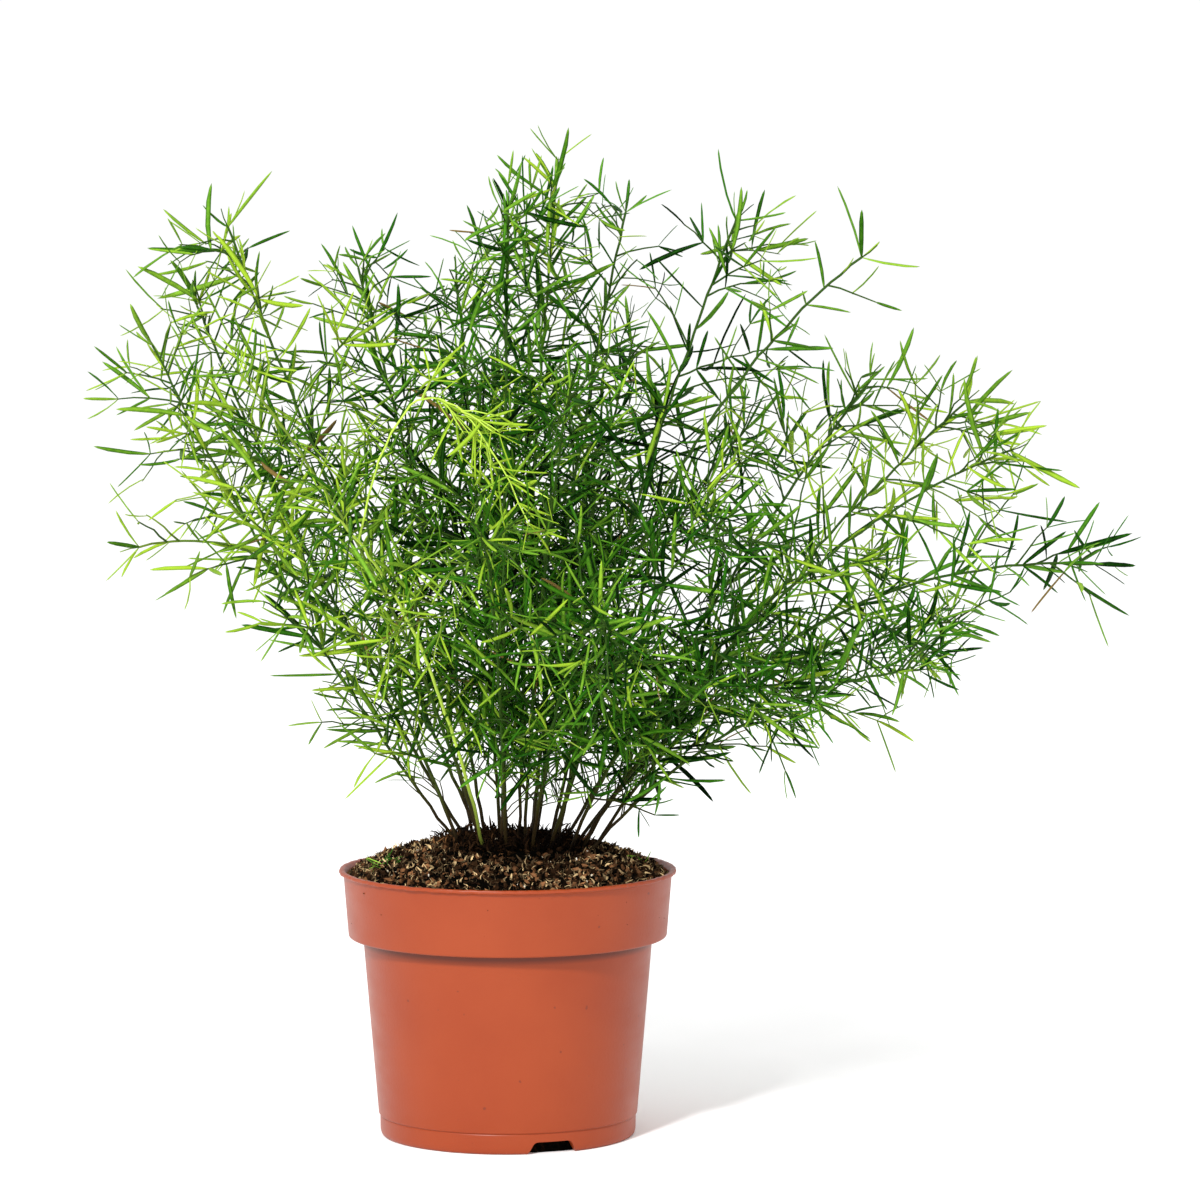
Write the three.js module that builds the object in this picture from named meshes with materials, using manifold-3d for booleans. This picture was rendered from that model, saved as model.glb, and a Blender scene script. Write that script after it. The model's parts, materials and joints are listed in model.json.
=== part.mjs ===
// A sprengeri asparagus fern in a plastic nursery pot, in millimetres, +Z up.
// The origin is the middle of the pot's flat bottom, on the surface that the pot stands on.
// The pot is one moulding, the soil is one plug with a hole for each stem, and each stem is one
// body with its side branches and its needles, which are grown out of its skin face by face.
import * as THREE from "three";
import { mergeVertices } from "three/addons/utils/BufferGeometryUtils.js";
import Module from "manifold-3d";

const wasm = await Module();
wasm.setup();

const GAP = 0.3; // between two pieces that touch
const FULL_TURN = 2 * Math.PI;
const THIRD_TURN = FULL_TURN / 3;
const GOLDEN_TURN = 2.39996; // from one side branch to the next, round the stem
const UP = new THREE.Vector3(0, 0, 1);

// Pot
const POT_HEIGHT = 95;
const LIP_RADIUS = 60;
const BAND_RADIUS = [56.6, 58.1]; // the wide band below the lip, at its bottom and top
const BAND_BOTTOM = 71;
const BODY_RADIUS = [46.1, 51.5]; // the tapered body, at its bottom and top
const FOOT_RADIUS = 45.6;
const FOOT_HEIGHT = 7.2; // up to the fine line round the body
const WALL = 1.2;
const MOAT_RADIUS = [27, 42.4]; // the raised ring of the base, which holds the drain holes
const MOAT_HEIGHT = 4.8;
const NOTCH = { count: 3, wide: 19, narrow: 13.5, height: 4.3, turn: -1.2 };
const DRAIN = { count: 6, radius: 3.6, distance: 36.5 };
const ROUND_STEPS = 32;

// Soil
const SOIL_EDGE = 92.3;
const SOIL_MOUND = 12; // how far the middle stands above the edge
const SOIL_RINGS = 7;
const LUMP = 1; // the height of the crumbs' relief

// Stems, branches and needles
const STEM_RADIUS = [0.95, 0.5]; // at the soil and at the tip
const BRANCH_RADIUS = [0.55, 0.4];
const SUNK = 12; // how deep a stem stands in the soil
const NODE_LENGTH = 1.5; // the short stretch of a stem that needles grow from
const TIP_NEEDLE = 14; // a stem's wood ends this far before the tip of its foliage
const FIRST_BRANCH = 0.17; // as shares of the stem's length
const LAST_BRANCH = 0.93;
const BRANCH_EVERY = 40;
const BRANCH_LENGTH = [17, 45]; // at the tip of a stem, and what is added at its middle
const BRANCH_LEAN = 0.9; // radians from the stem
const BRANCH_SAG = 0.13;
const NEEDLE = { length: [15, 22], width: 1.5, thick: 0.36, widest: 0.42, lean: 0.95, root: 3 };
const NEEDLE_SWING = 0.5; // how far the needles turn to one side, and at the next node to the other
const WHORL_EVERY = 13.5; // along a branch
const SKIRT = { height: 107, from: 50, rise: 0.45, left: [45, 75], leftRise: 1.6 }; // under the foliage
const CLEAR = 0.35; // least space between two skins

// The stems, from the left to the right of the plant. root is where a stem leaves the soil and tip
// where its foliage ends. bow above 0 makes it rise first and lean out later, and droop bends it over.
// spread shortens the branches of a sparse stem.
const STEMS = [
  { tone: "mid", root: [-19, 0], tip: [-132, -5, 293], bow: -0.1, droop: -0.1 },
  { tone: "mid", root: [-15, 9], tip: [-118, 35, 306], bow: -0.15, droop: -0.05 },
  { tone: "fresh", root: [-17, -9], tip: [-137, -40, 222], bow: 0.25, droop: 1.3 },
  { tone: "mid", root: [-9, 4], tip: [-105, 22, 335], bow: -0.1, droop: 0 },
  { tone: "fresh", root: [-9, -11], tip: [-97, -60, 286], bow: 0.3, droop: 0.2 },
  { tone: "deep", root: [-8, 15], tip: [-58, 62, 320], bow: 0.1, droop: 0.1 },
  { tone: "mid", root: [-8, -18], tip: [-62, -112, 240], bow: 0.2, droop: 0.5 },
  { tone: "deep", root: [-13, 18], tip: [-76, 118, 252], bow: 0.2, droop: 0.5 },
  { tone: "deep", root: [-3, 9], tip: [-20, 42, 318], bow: 0.2, droop: 0.1 },
  { tone: "deep", root: [-2, -5], tip: [1, -28, 343], bow: 0.3, droop: 0 },
  { tone: "mid", root: [4, 1], tip: [18, 0, 350], bow: 0.6, droop: 0 },
  { tone: "fresh", root: [0, -19], tip: [-7, -135, 233], bow: 0.2, droop: 0.7 },
  { tone: "deep", root: [-1, 20], tip: [-8, 132, 276], bow: 0.2, droop: 0.4 },
  { tone: "fresh", root: [6, -12], tip: [24, -90, 282], bow: 0.3, droop: 0.3 },
  { tone: "deep", root: [9, 7], tip: [44, 30, 341], bow: 0.5, droop: 0 },
  { tone: "deep", root: [10, 16], tip: [47, 95, 290], bow: 0.1, droop: 0.2 },
  { tone: "mid", root: [9, -20], tip: [39, -140, 200], bow: 0.1, droop: 1.2 },
  { tone: "deep", root: [8, 23], tip: [32, 140, 216], bow: 0.1, droop: 1 },
  { tone: "mid", root: [15, 1], tip: [85, 10, 338], bow: 0.2, droop: 0.1 },
  { tone: "mid", root: [15, -17], tip: [81, -110, 238], bow: 0.1, droop: 0.6 },
  { tone: "deep", root: [17, 18], tip: [92, 110, 256], bow: 0.1, droop: 0.5 },
  { tone: "fresh", root: [18, -5], tip: [130, -30, 325], bow: 0.6, droop: 0.35, spread: 0.2 },
  { tone: "mid", root: [20, 10], tip: [139, 70, 277], bow: 0, droop: 0.1 },
  { tone: "fresh", root: [26, 4], tip: [172, 20, 270], bow: 0.1, droop: 0.15 },
  { tone: "fresh", root: [27, -6], tip: [184, -50, 256], bow: 0.15, droop: 0.5 },
  { tone: "mid", root: [31, -1], tip: [219, -8, 211], bow: 0.25, droop: 1.1 },
  { tone: "deep", root: [25, 13], tip: [175, 62, 184], bow: 0.2, droop: 1 },
  { tone: "mid", root: [29, -13], tip: [156, -36, 176], bow: 0.1, droop: 0.8 },
  { tone: "deep", root: [22, -16], tip: [104, -78, 160], bow: 0.3, droop: 2 },
];

// The same run of draws from 0 to 1 each time, for one seed.
function seededDraws(seed) {
  let state = Math.imul(seed + 1, 747796405) >>> 0;
  return () => {
    state = (Math.imul(state, 1664525) + 1013904223) >>> 0;
    return state / 2 ** 32;
  };
}

const mix = (pair, share) => pair[0] + (pair[1] - pair[0]) * share;

// Joining and cutting

function solidOf(geometry) {
  const positions = new THREE.BufferGeometry().setAttribute("position", geometry.getAttribute("position"));
  positions.setIndex(geometry.index);
  const merged = mergeVertices(positions, 1e-3);
  const corners = [];
  for (let i = 0; i < merged.index.count; i += 3) {
    const [a, b, c] = merged.index.array.slice(i, i + 3);
    if (a !== b && b !== c && c !== a) corners.push(a, b, c);
  }
  const vertProperties = new Float32Array(merged.attributes.position.array);
  const triVerts = new Uint32Array(corners);
  return new wasm.Manifold(new wasm.Mesh({ numProp: 3, vertProperties, triVerts }));
}

function geometryOf(solid) {
  const mesh = solid.getMesh();
  const geometry = new THREE.BufferGeometry();
  geometry.setAttribute("position", new THREE.BufferAttribute(mesh.vertProperties, 3));
  geometry.setIndex(new THREE.BufferAttribute(mesh.triVerts, 1));
  geometry.computeVertexNormals();
  return geometry;
}

// A closed body turned round the Z axis, from its profile of [radius, height] points.
function turned(profile) {
  const points = [...profile, profile[0]].map(([radius, height]) => new THREE.Vector2(radius, height));
  return new THREE.LatheGeometry(points, ROUND_STEPS).rotateX(Math.PI / 2);
}

// Pot

// Up the outside, over the lip, down the inside and back under the base.
function potProfile() {
  const [moatInner, moatOuter] = MOAT_RADIUS;
  const shelf = BAND_BOTTOM;
  return [
    [0, 0],
    [moatInner, 0],
    [moatInner + 3.5, MOAT_HEIGHT],
    [moatOuter, MOAT_HEIGHT],
    [moatOuter, 0],
    [FOOT_RADIUS - 1.4, 0],
    [FOOT_RADIUS - 0.2, 1.4],
    [FOOT_RADIUS, FOOT_HEIGHT],
    [BODY_RADIUS[0], FOOT_HEIGHT + 0.4],
    [BODY_RADIUS[1], shelf - 0.8],
    [BAND_RADIUS[0] - 1.2, shelf - 0.8],
    [BAND_RADIUS[0], shelf + 0.8],
    [BAND_RADIUS[1], POT_HEIGHT - 2.4],
    [LIP_RADIUS, POT_HEIGHT - 1.4],
    [LIP_RADIUS - 0.5, POT_HEIGHT],
    [LIP_RADIUS - 2.1, POT_HEIGHT],
    [BAND_RADIUS[1] - WALL, POT_HEIGHT - 2.2],
    [BAND_RADIUS[0] - WALL, shelf + 1.6],
    [BODY_RADIUS[1] - WALL, shelf + 0.4],
    [BODY_RADIUS[0] - WALL, MOAT_HEIGHT + WALL],
    [moatInner + 3.2, MOAT_HEIGHT + WALL],
    [moatInner - 0.4, WALL],
    [0, WALL],
  ];
}

// The wedge that opens the foot for draining water, wide at the floor and narrow at its top.
function notchCutter(turn) {
  const shape = new THREE.Shape([
    new THREE.Vector2(-NOTCH.wide / 2, -1),
    new THREE.Vector2(NOTCH.wide / 2, -1),
    new THREE.Vector2(NOTCH.narrow / 2, NOTCH.height),
    new THREE.Vector2(-NOTCH.narrow / 2, NOTCH.height),
  ]);
  const reach = 10;
  const cutter = new THREE.ExtrudeGeometry(shape, { depth: reach, bevelEnabled: false });
  cutter.rotateX(Math.PI / 2).translate(0, MOAT_RADIUS[1] - 4 + reach, 0);
  return cutter.rotateZ(turn - Math.PI / 2);
}

function drainCutter(turn) {
  const drill = new THREE.CylinderGeometry(DRAIN.radius, DRAIN.radius, 8, 10).rotateX(Math.PI / 2);
  return drill.translate(DRAIN.distance * Math.cos(turn), DRAIN.distance * Math.sin(turn), MOAT_HEIGHT);
}

function potGeometry() {
  let pot = solidOf(turned(potProfile()));
  for (let i = 0; i < NOTCH.count; i++) {
    pot = pot.subtract(solidOf(notchCutter(NOTCH.turn + (i * FULL_TURN) / NOTCH.count)));
  }
  for (let i = 0; i < DRAIN.count; i++) {
    pot = pot.subtract(solidOf(drainCutter(((i + 0.5) * FULL_TURN) / DRAIN.count)));
  }
  return geometryOf(pot);
}

// Soil

// The mound's height above the floor, with the relief of its crumbs.
function soilHeight(x, y) {
  const rim = BAND_RADIUS[1] - WALL;
  const share = Math.min(1, Math.hypot(x, y) / rim);
  const waves = Math.sin(0.62 * x + 1) * Math.cos(0.55 * y) + 0.7 * Math.sin(0.83 * y - 0.41 * x);
  return SOIL_EDGE + SOIL_MOUND * (1 - share ** 2.8) ** 0.9 + LUMP * waves * (1 - share ** 6);
}

// The plug's profile follows the inside of the pot, a gap away, and its top is raised afterwards.
function soilGeometry() {
  const rim = BAND_RADIUS[1] - WALL - GAP;
  const floor = MOAT_HEIGHT + WALL + GAP;
  const profile = [
    [0, WALL + GAP],
    [MOAT_RADIUS[0] - 0.8, WALL + GAP],
    [MOAT_RADIUS[0] + 2.8, floor],
    [BODY_RADIUS[0] - WALL - GAP, floor],
    [BODY_RADIUS[1] - WALL - GAP, BAND_BOTTOM + 0.8],
    [BAND_RADIUS[0] - WALL - GAP, BAND_BOTTOM + 2],
  ];
  for (let i = SOIL_RINGS; i >= 0; i--) profile.push([(rim * i) / SOIL_RINGS, SOIL_EDGE]);
  const plug = turned(profile);
  const position = plug.getAttribute("position");
  for (let i = 0; i < position.count; i++) {
    if (position.getZ(i) < SOIL_EDGE - 0.01) continue;
    position.setZ(i, soilHeight(position.getX(i), position.getY(i)));
  }
  let soil = solidOf(plug);
  for (const stem of STEMS) soil = soil.subtract(solidOf(holeCutter(stem)));
  return geometryOf(soil);
}

// A plain square hole along the sunk foot of a stem.
function holeCutter(stem) {
  const radius = (STEM_RADIUS[0] + GAP) * Math.SQRT2;
  const length = SUNK + GAP + 8;
  const path = stemPath(stem);
  const drill = new THREE.CylinderGeometry(radius, radius, length, 4);
  drill.rotateX(Math.PI / 2).translate(0, 0, length / 2 - SUNK - GAP);
  drill.applyQuaternion(new THREE.Quaternion().setFromUnitVectors(UP, path.getTangent(0)));
  return drill.translate(...path.getPoint(0).toArray());
}

// Stems

// The route of a stem above the soil, as one arc.
function stemPath({ root, tip, bow, droop }) {
  const start = new THREE.Vector3(root[0], root[1], soilHeight(...root));
  const rise = new THREE.Vector3(...tip).sub(start);
  rise.setLength(rise.length() - TIP_NEEDLE);
  const end = start.clone().add(rise);
  const out = (1 - bow) / 2;
  const knee = start.clone().add(new THREE.Vector3(rise.x * out, rise.y * out, (rise.z * (1 + droop)) / 2));
  return new THREE.QuadraticBezierCurve3(start, knee, end);
}

// The direction that stands square to a stem and points to the side that turn gives.
function outward(along, turn) {
  const side = new THREE.Vector3(0.31, 0.95, 0).cross(along).normalize();
  return side.applyAxisAngle(along, turn);
}

// A side branch, which leans away from the stem and sags a little.
function branchPath(start, direction, length) {
  const straight = direction.clone().multiplyScalar(length);
  const end = start.clone().add(straight).addScaledVector(UP, -BRANCH_SAG * length);
  const knee = start.clone().addScaledVector(straight, 0.5);
  return new THREE.QuadraticBezierCurve3(start, knee, end);
}

// Space that is taken, as straight rods

const rods = [];

function addRod(from, to, radius, owner, isWood) {
  rods.push({ from: from.clone(), to: to.clone(), radius, owner, isWood });
}

function addWood(points, radius, owner) {
  for (let i = 1; i < points.length; i++) addRod(points[i - 1], points[i], radius, owner, true);
}

const clamp = (value) => Math.min(1, Math.max(0, value));

// The least distance between the straight lines a to b and c to d.
function distanceBetween(a, b, c, d) {
  const u = b.clone().sub(a);
  const v = d.clone().sub(c);
  const w = a.clone().sub(c);
  const uu = u.dot(u);
  const vv = v.dot(v);
  const uv = u.dot(v);
  const slack = uu * vv - uv * uv;
  let s = slack > 1e-9 ? clamp((uv * v.dot(w) - vv * u.dot(w)) / slack) : 0;
  const t = clamp((uv * s + v.dot(w)) / vv);
  s = clamp((uv * t - u.dot(w)) / uu);
  return w.addScaledVector(u, s).addScaledVector(v, -t).length();
}

// How low foliage hangs: to just over the rim, and less far out, least of all on the left.
function skirtHeight(point) {
  const away = Math.max(0, Math.hypot(point.x, point.y) - SKIRT.from);
  const left = Math.max(0, Math.min(SKIRT.left[1], -point.x) - SKIRT.left[0]);
  return SKIRT.height + SKIRT.rise * away + SKIRT.leftRise * left;
}

// Whether a branch's stretch is clear of all but its own stem.
function isBranchClear(from, to, ownStem) {
  if (from.z < SKIRT.height || to.z < skirtHeight(to)) return false;
  return rods.every((rod) => {
    if (rod.owner === ownStem) return true;
    return distanceBetween(from, to, rod.from, rod.to) > BRANCH_RADIUS[0] + rod.radius + CLEAR;
  });
}

// Whether a needle is clear of all but the wood it grows from, and its free part of its neighbours.
function isNeedleClear(root, aim, length, owner, neighbour) {
  const tip = root.clone().addScaledVector(aim, length);
  const free = root.clone().addScaledVector(aim, NEEDLE.root);
  if (tip.z < skirtHeight(tip)) return false;
  return rods.every((rod) => {
    if (rod.owner === owner && rod.isWood) return true;
    const from = rod.owner === owner || rod.owner === neighbour ? free : root;
    return distanceBetween(from, tip, rod.from, rod.to) > NEEDLE.width / 2 + rod.radius + CLEAR;
  });
}

// Skin: a closed surface of triangles, each of which can be grown into a stalk or a needle

class Skin {
  points = [];
  faces = new Set();

  constructor(centre, along, radius) {
    const [a, b, c] = this.ring(centre, along, radius, 0);
    this.end = [a, b, c];
    this.faces.add([a, c, b]).add(this.end);
  }

  centreOf(face) {
    const [a, b, c] = face.map((i) => this.points[i]);
    return a.clone().add(b).add(c).divideScalar(3);
  }

  normalOf(face) {
    const [a, b, c] = face.map((i) => this.points[i]);
    return b.clone().sub(a).cross(c.clone().sub(a)).normalize();
  }

  ring(centre, along, radius, phase) {
    return [0, 1, 2].map((k) => {
      const spoke = outward(along, phase + k * THIRD_TURN);
      return this.points.push(centre.clone().addScaledVector(spoke, radius)) - 1;
    });
  }

  // The turn of a new ring whose corners line up with those of the face that it grows from.
  phaseOf(face, along) {
    const centre = this.centreOf(face);
    const x = outward(along, 0);
    const y = along.clone().cross(x);
    let across = 0;
    let up = 0;
    face.forEach((point, k) => {
      const spoke = this.points[point].clone().sub(centre);
      const turn = Math.atan2(spoke.dot(y), spoke.dot(x)) - k * THIRD_TURN;
      across += Math.cos(turn);
      up += Math.sin(turn);
    });
    return Math.atan2(up, across);
  }

  // Grows a face into a stalk that ends in a ring, and returns the stalk's side and end faces.
  stretch(face, centre, along, radius) {
    const ring = this.ring(centre, along, radius, this.phaseOf(face, along));
    this.faces.delete(face);
    const sides = [];
    for (let k = 0; k < 3; k++) {
      const next = (k + 1) % 3;
      sides.push([face[k], face[next], ring[next]], [face[k], ring[next], ring[k]]);
    }
    sides.forEach((side) => this.faces.add(side));
    this.faces.add(ring);
    return { sides, end: ring };
  }

  // Grows a face into a slim needle, which narrows all the way.
  spike(face, aim, length) {
    const [a, b, c] = face;
    const t = this.points.push(this.centreOf(face).addScaledVector(aim, length)) - 1;
    this.faces.delete(face);
    this.faces.add([a, b, t]).add([b, c, t]).add([c, a, t]);
  }

  // Grows a face into a flat needle with a straight keel, widest near its middle.
  blade(face, aim, length) {
    const root = this.centreOf(face);
    const tipPoint = root.clone().addScaledVector(aim, length);
    const keels = face.map((i) => this.points[i].clone().sub(root).projectOnPlane(aim));
    const keel = keels.indexOf(keels.reduce((best, k) => (k.length() > best.length() ? k : best)));
    const [c, a, b] = [0, 1, 2].map((k) => face[(keel + k) % 3]);
    const up = keels[keel].clone().normalize();
    const side = up.clone().cross(aim);
    const middle = root.addScaledVector(aim, length * NEEDLE.widest).addScaledVector(up, -NEEDLE.thick);
    const l = this.points.push(middle.clone().addScaledVector(side, -NEEDLE.width / 2)) - 1;
    const r = this.points.push(middle.clone().addScaledVector(side, NEEDLE.width / 2)) - 1;
    const t = this.points.push(tipPoint) - 1;
    this.faces.delete(face);
    const grown = [[a, b, r], [a, r, l], [b, c, r], [c, t, r], [c, a, l], [c, l, t], [l, r, t]];
    grown.forEach((f) => this.faces.add(f));
  }

  geometry() {
    const geometry = new THREE.BufferGeometry().setFromPoints(this.points);
    geometry.setIndex([...this.faces].flat());
    const flat = geometry.toNonIndexed();
    flat.computeVertexNormals();
    return flat;
  }
}

// Needles

const OPENINGS = [0, 0.25, -0.25, 0.45];
const SWINGS = [0, 0.25, -0.25, 0.5, -0.5];

// Grows a needle from a face, turned to whatever side is free, or none if every side is taken.
// place holds the wood's direction, its owner and the owner of the branch that starts beside it.
function growNeedle(skin, face, place, draw, swing, isBlade) {
  const { along, owner, neighbour } = place;
  const root = skin.centreOf(face);
  const facing = skin.normalOf(face);
  const length = mix(NEEDLE.length, draw());
  const lean = NEEDLE.lean + 0.3 * (draw() - 0.5);
  const jitter = 0.3 * (draw() - 0.5);
  for (const opening of OPENINGS) {
    for (const turn of SWINGS) {
      const side = facing.clone().projectOnPlane(along).normalize();
      side.applyAxisAngle(along, swing + jitter + turn);
      const aim = along.clone().multiplyScalar(Math.cos(lean + opening));
      aim.addScaledVector(side, Math.sin(lean + opening)).normalize();
      if (aim.dot(facing) < 0.4 || !isNeedleClear(root, aim, length, owner, neighbour)) continue;
      if (isBlade) skin.blade(face, aim, length);
      else skin.spike(face, aim, length);
      addRod(root, root.clone().addScaledVector(aim, length), NEEDLE.width / 2, owner, false);
      return;
    }
  }
}

// Grows the needles of one node, one on each of its three sides but the one that a branch has taken.
// Odd nodes swing theirs to one side and even nodes to the other.
function growWhorl(skin, sides, place, draw, order, taken) {
  const half = order % 2;
  for (let k = 0; k < 3; k++) {
    const pair = [sides[2 * k], sides[2 * k + 1]];
    if (pair.includes(taken)) continue;
    growNeedle(skin, pair[half], place, draw, (1 - 2 * half) * NEEDLE_SWING, (k + order) % 3 === 0);
  }
}

// A stalk's short node and the plain stretch that leads up to it.
function growNode(skin, end, path, at, radius) {
  const along = path.getTangent(at);
  const half = along.clone().multiplyScalar(NODE_LENGTH / 2);
  const centre = path.getPoint(at);
  const bare = skin.stretch(end, centre.clone().sub(half), along, radius);
  return { along, ...skin.stretch(bare.end, centre.clone().add(half), along, radius) };
}

// The whole fern is planned before any skin is grown: first the stems, then their side branches,
// each turned until it is clear of everything that was planned before it. A fork is the place of one
// branch, and stays bare of it where no turn is clear.

const TURN_TRIES = 12;

function planStem(stem, index) {
  const path = stemPath(stem);
  const draw = seededDraws(index);
  const reach = (LAST_BRANCH - FIRST_BRANCH) * path.getLength();
  const count = Math.max(4, Math.round(reach / BRANCH_EVERY) + 1);
  const stations = [];
  for (let k = 0; k < count; k++) {
    const even = mix([FIRST_BRANCH, LAST_BRANCH], k / (count - 1));
    stations.push(k < count - 1 ? even + (0.4 * (draw() - 0.5)) / count : even);
  }
  const bends = [0, FIRST_BRANCH / 2, ...stations, 1].map((at) => path.getPoint(at));
  const owner = `stem${index}`;
  addWood(bends, STEM_RADIUS[0], owner);
  return { index, owner, path, stations, draw, spread: stem.spread ?? 1 };
}

// A stem carries its longest branches at its middle, shorter ones below and the shortest at its tip.
function planBranches(plan) {
  const { draw, stations } = plan;
  const firstTurn = draw() * FULL_TURN;
  plan.forks = stations.map((at, k) => {
    const share = (LAST_BRANCH - at) / (LAST_BRANCH - FIRST_BRANCH);
    const fullness = BRANCH_LENGTH[0] + BRANCH_LENGTH[1] * Math.sin(0.85 * Math.PI * clamp(share));
    const length = Math.max(BRANCH_LENGTH[0], plan.spread * fullness * (0.8 + 0.35 * draw()));
    const lean = BRANCH_LEAN + 0.35 * (draw() - 0.5);
    const owner = `${plan.owner}branch${k}`;
    return { at, branch: planBranch(plan, owner, at, length, firstTurn + k * GOLDEN_TURN, lean) };
  });
}

function branchStations(length) {
  const count = Math.max(2, Math.round(length / WHORL_EVERY));
  return Array.from({ length: count }, (_, j) => (j + 0.8) / (count - 0.2));
}

function planBranch(plan, owner, at, length, turn, lean) {
  const along = plan.path.getTangent(at);
  for (let i = 0; i < TURN_TRIES; i++) {
    const side = outward(along, turn + (i * FULL_TURN) / TURN_TRIES);
    const direction = along.clone().multiplyScalar(Math.cos(lean)).addScaledVector(side, Math.sin(lean));
    const path = branchPath(plan.path.getPoint(at), direction, length);
    const bends = [0, ...branchStations(length)].map((share) => path.getPoint(share));
    if (!bends.slice(1).every((bend, j) => isBranchClear(bends[j], bend, plan.owner))) continue;
    addWood(bends, BRANCH_RADIUS[0], owner);
    return { owner, path, length, direction };
  }
  return null;
}

function growBranch(skin, face, branch, draw) {
  const stations = branchStations(branch.length);
  let end = face;
  stations.forEach((at, j) => {
    const node = growNode(skin, end, branch.path, at, mix(BRANCH_RADIUS, at));
    const place = { along: node.along, owner: branch.owner };
    if (j === stations.length - 1) growTip(skin, node.end, place, draw);
    growWhorl(skin, node.sides, place, draw, j, null);
    end = node.end;
  });
}

// The needle that carries on past the end of a stem or a branch, shorter where space is short.
function growTip(skin, end, place, draw) {
  const root = skin.centreOf(end);
  const { along, owner } = place;
  const full = mix(NEEDLE.length, draw());
  const length = [full, 0.8 * full, 0.6 * full].find((reach) => isNeedleClear(root, along, reach, owner));
  if (!length) return;
  skin.blade(end, along, length);
  addRod(root, root.clone().addScaledVector(along, length), NEEDLE.width / 2, owner, false);
}

function growStem(plan) {
  const { path, owner, index } = plan;
  const draw = seededDraws(index + 500);
  const foot = path.getPoint(0).addScaledVector(path.getTangent(0), -SUNK);
  const skin = new Skin(foot, path.getTangent(0), STEM_RADIUS[0]);
  let end = skin.end;
  for (const at of [0, FIRST_BRANCH / 2]) {
    end = skin.stretch(end, path.getPoint(at), path.getTangent(at), STEM_RADIUS[0]).end;
  }
  const forks = plan.forks.map(({ at, branch }) => {
    const node = growNode(skin, end, path, at, mix(STEM_RADIUS, at));
    const facing = (face) => skin.normalOf(face).dot(branch.direction);
    const face = branch && node.sides.reduce((best, side) => (facing(side) > facing(best) ? side : best));
    end = node.end;
    return { branch, face, node };
  });
  const top = growNode(skin, end, path, 1, STEM_RADIUS[1]);
  growTip(skin, top.end, { along: top.along, owner }, draw);
  for (const { branch, face } of forks) if (branch) growBranch(skin, face, branch, draw);
  growWhorl(skin, top.sides, { along: top.along, owner }, draw, 0, null);
  forks.forEach(({ branch, face, node }, k) => {
    growWhorl(skin, node.sides, { along: node.along, owner, neighbour: branch?.owner }, draw, k, face);
  });
  return skin.geometry();
}

// Materials and the object

const terracotta = new THREE.MeshStandardMaterial({ color: 0xc4603c, roughness: 0.45, metalness: 0 });
const peat = new THREE.MeshStandardMaterial({ color: 0x3a271b, roughness: 0.95, metalness: 0 });
const green = (color) => new THREE.MeshStandardMaterial({ color, roughness: 0.55, metalness: 0 });
const greens = { deep: green(0x1f6b1c), mid: green(0x3f8a24), fresh: green(0x7fb52a) };

function piece(name, geometry, material) {
  const mesh = new THREE.Mesh(geometry, material);
  mesh.name = name;
  return mesh;
}

const fern = new THREE.Group();
fern.add(piece("pot", potGeometry(), terracotta));
fern.add(piece("soil", soilGeometry(), peat));
const plans = STEMS.map(planStem);
plans.forEach(planBranches);
for (const plan of plans) {
  const name = `leafy_stem_${String(plan.index + 1).padStart(2, "0")}`;
  fern.add(piece(name, growStem(plan), greens[STEMS[plan.index].tone]));
}

export default fern;
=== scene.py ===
# %% [markdown]
# # A sprengeri asparagus fern in its nursery pot
#
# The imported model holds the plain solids: a pot, a plug of soil and 29 leafy stems with coarse
# needles. This script dresses them for a close look. The pot gets rounded corners and a satin
# finish, the soil gets crumbs and fibres, and each stem gets all its fine branches with thousands
# of needles, which botanists call cladodes.
#
# The pieces' lengths are in millimetres, as in the source of the solids, and are turned into
# metres where a mesh is made. The camera, the lamps, the floor and what goes into a node tree are
# in metres.

import json
import math

import bmesh
import bpy
import numpy as np
from mathutils import Matrix, Vector, noise

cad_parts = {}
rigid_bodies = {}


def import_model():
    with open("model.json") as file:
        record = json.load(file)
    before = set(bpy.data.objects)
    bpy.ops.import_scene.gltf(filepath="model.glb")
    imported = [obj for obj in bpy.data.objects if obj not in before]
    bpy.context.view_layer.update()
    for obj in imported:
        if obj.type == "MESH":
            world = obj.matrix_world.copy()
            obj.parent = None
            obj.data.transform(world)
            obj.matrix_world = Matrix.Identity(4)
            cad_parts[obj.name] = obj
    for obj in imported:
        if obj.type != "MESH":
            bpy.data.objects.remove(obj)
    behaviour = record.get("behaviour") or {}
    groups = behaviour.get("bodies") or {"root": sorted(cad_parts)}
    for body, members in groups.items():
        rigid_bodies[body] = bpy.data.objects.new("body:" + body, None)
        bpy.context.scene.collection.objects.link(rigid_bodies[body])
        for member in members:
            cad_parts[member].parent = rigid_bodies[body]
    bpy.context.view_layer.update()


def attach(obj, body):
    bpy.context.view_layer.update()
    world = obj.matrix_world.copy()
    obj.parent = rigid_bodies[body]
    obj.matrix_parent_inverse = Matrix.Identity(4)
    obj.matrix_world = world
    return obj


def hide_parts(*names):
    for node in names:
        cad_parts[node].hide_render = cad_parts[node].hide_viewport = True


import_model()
MM = 0.001
FULL_TURN = 2 * math.pi
GOLDEN_TURN = 2.39996

# %% [markdown]
# ## Camera and light
#
# The photograph was taken from a little above the rim with a long lens, so the pot shows almost
# no perspective. The camera stands 2 m off with a 170 mm lens and looks down by 5 degrees, which
# puts the rim and the tips of the foliage where the picture has them. The picture is a bright
# studio shot on white. One big lamp could light it, but the real one wraps light all round the
# plant, so a plain white dome gives most of it. A small lamp at the upper left adds form and
# crisp shadows among the needles, and a wide weak one fills in from the right.

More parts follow.
